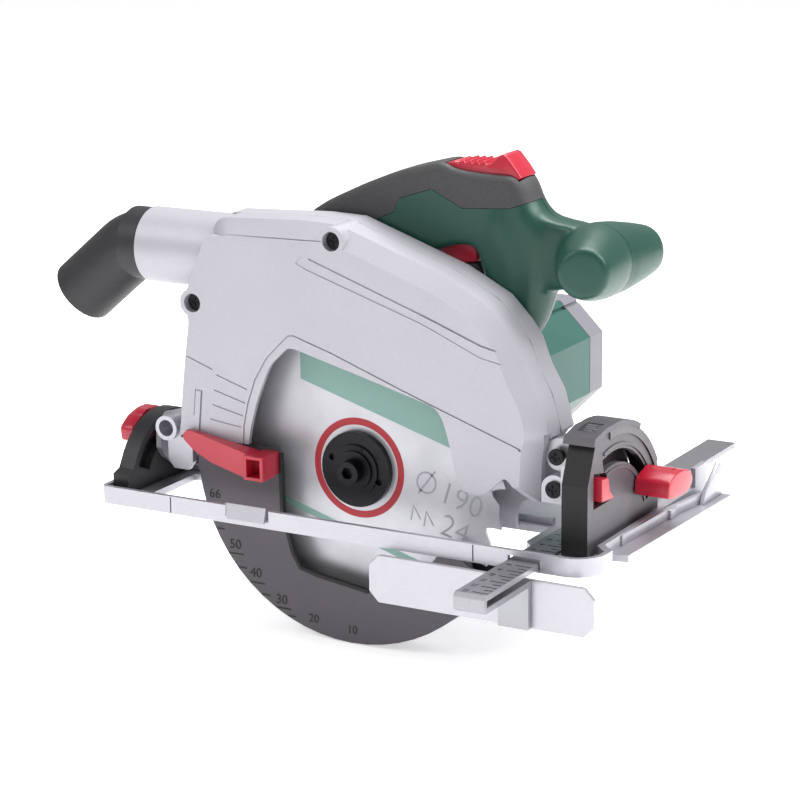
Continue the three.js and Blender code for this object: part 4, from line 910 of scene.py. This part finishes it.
# A thin dark ring set in the gap between housing and end cap, so that the joint shows painted shade.
def makeJointShade(look):
    half, tall, corner = look["shadeRingHalf"], look["shadeRingTall"], look["shadeRingCorner"]
    across, up = look["axis"]
    ring = [(across + u, up + v) for u, v in (
        (-half, corner - tall), (corner - half, -tall), (half - corner, -tall), (half, corner - tall),
        (half, tall - corner), (half - corner, tall), (corner - half, tall), (-half, tall - corner))]
    body = objectOf(slab(ring, "y", 144.2, 146.2))
    carve(body, slab(inset(ring, 2.2), "y", 143, 148))
    settle(body, "motor_joint_shade", "shadowLine", body="saw_head", edge=0)


# A cast hump of the gear housing rises between the cover and the handle.
humpLook = {
    "outline": [(44, 96), (48, 108), (53.5, 115.7), (59.8, 118.3), (67.3, 112.8), (71.9, 105.9), (76, 96)],
    "sides": (11, 24),
}


def makeHump(look):
    body = objectOf(slab(rounded(look["outline"], 3, 3), "y", *look["sides"], 2.5, 3))
    settle(body, "housing_hump", "powderCoat", body="saw_head", edge=0)


makeMotorPiece("motor_housing", motorLook)
makeMotorPiece("motor_end_cap", motorLook)
makeJointShade(motorLook)
makeHump(humpLook)
print("shaped pieces ready")


# Pieces whose built shape only needs its edges and its finish: material and edge width in mm.
plainPieces = {
    "base_plate": ("milledAluminium", 0.5),
    "rear_quadrant": ("blackPolyamide", 0.6), "bevel_stop_latch": ("redAcetal", 0.5),
    "guide_bar": ("rolledSteel", 0.35), "guide_fence": ("milledAluminium", 0.4),
    "guide_clamp_screw": ("blackPolyamide", 0.5), "front_bracket": ("milledAluminium", 0.5),
    "rear_bracket": ("milledAluminium", 0.5), "depth_arc": ("rolledSteel", 0.3),
    "depth_pivot_screw": ("blackenedSteel", 0.3), "bracket_screw": ("blackenedSteel", 0.3),
    "guard_housing": ("powderCoat", 0.5),
    "bearing_shield": ("milledAluminium", 0.4), "cover_screw_rear": ("blackenedSteel", 0.25),
    "cover_screw_top": ("blackenedSteel", 0.25),
    "outer_flange": ("blackenedSteel", 0.3), "blade_bolt": ("blackenedSteel", 0.3),
    "inner_flange": ("blackenedSteel", 0.3), "saw_blade": ("printedSawSteel", 0.0),
    "guard_lever": ("redAcetal", 0.6), "cable_gland": ("softRubber", 0.4),
    "spindle_lock_button": ("blackPolyamide", 0.5),
    "depth_lever": ("redAcetal", 0.8), "dust_elbow": ("blackPolyamide", 0.4),
}
# Inner pieces keep their built shape and only take a material.
innerNodes = {
    "stator_core": "turnedSteel", "field_coil_upper": "woundCopper", "field_coil_lower": "woundCopper",
    "brush_holder_front": "stampedBrass", "brush_holder_rear": "stampedBrass",
    "carbon_brush_front": "blackPolyamide",
    "carbon_brush_rear": "blackPolyamide", "armature_bearing_front": "turnedSteel",
    "armature_bearing_rear": "turnedSteel", "spindle_bearing_front": "turnedSteel",
    "spindle_bearing_rear": "turnedSteel", "switch_module": "blackPolyamide",
    "guard_return_spring": "turnedSteel",
    "spindle_shaft": "turnedSteel", "spindle_gear": "turnedSteel", "countershaft": "turnedSteel",
    "counter_gear": "turnedSteel", "armature_shaft": "turnedSteel", "armature_pinion": "turnedSteel",
    "armature_core": "turnedSteel", "commutator": "woundCopper", "cooling_fan": "blackPolyamide",
}


def dressInner():
    for node, material in innerNodes.items():
        frame["nodes"][node].data.materials.clear()
        frame["nodes"][node].data.materials.append(materials[material])


def dressPlain():
    for node, (material, edge) in plainPieces.items():
        obj = objectOf(cadCopy(node), node)
        settle(obj, node + "_finished", material, (node,), origin=baseAt, edge=edge)


dressInner()
dressPlain()
print("plain pieces ready")


# Floor and light: a glowing pale floor, a grey sky and three square lamps.
stageLook = {
    "floor": "#ffffff", "glow": 0.5, "sky": 0.44,
    # Each lamp: its place and size in metres and its power in watts.
    "lamps": [("key", (-0.9, -1.2, 1.3), 0.9, 9.0), ("fill", (1.3, 0.3, 1.3), 0.8, 19.0),
              ("top", (0.1, 0.5, 1.6), 1.2, 30.0)],
}


def makeStage(look):
    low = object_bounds()[0].z
    bm = bmesh.new()
    bmesh.ops.create_grid(bm, x_segments=1, y_segments=1, size=6)
    bmesh.ops.translate(bm, verts=bm.verts, vec=(0, 0, low - 0.0005))
    floor = objectOf(bm, "floor")
    material, shader = newMaterial("paperSweep")
    shader.inputs["Base Color"].default_value = linear(look["floor"])
    shader.inputs["Roughness"].default_value = 0.9
    shader.inputs["Emission Color"].default_value = linear(look["floor"])
    shader.inputs["Emission Strength"].default_value = look["glow"]
    floor.data.materials.append(material)
    floor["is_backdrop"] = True
    world = bpy.data.worlds.new("studio")
    world.use_nodes = True
    world.node_tree.nodes["Background"].inputs[0].default_value = (1, 1, 1, 1)
    world.node_tree.nodes["Background"].inputs[1].default_value = look["sky"]
    scene.world = world
    for name, place, size, power in look["lamps"]:
        data = bpy.data.lights.new(name, "AREA")
        data.energy = power
        data.shape = "SQUARE"
        data.size = size
        lamp = bpy.data.objects.new(name, data)
        scene.collection.objects.link(lamp)
        aim = Vector((0, 0, 0.05)) - Vector(place)
        lamp.matrix_world = Matrix.Translation(place) @ aim.to_track_quat("-Z", "Y").to_matrix().to_4x4()
    scene.view_settings.view_transform = "Standard"


makeStage(stageLook)
print("stage ready")
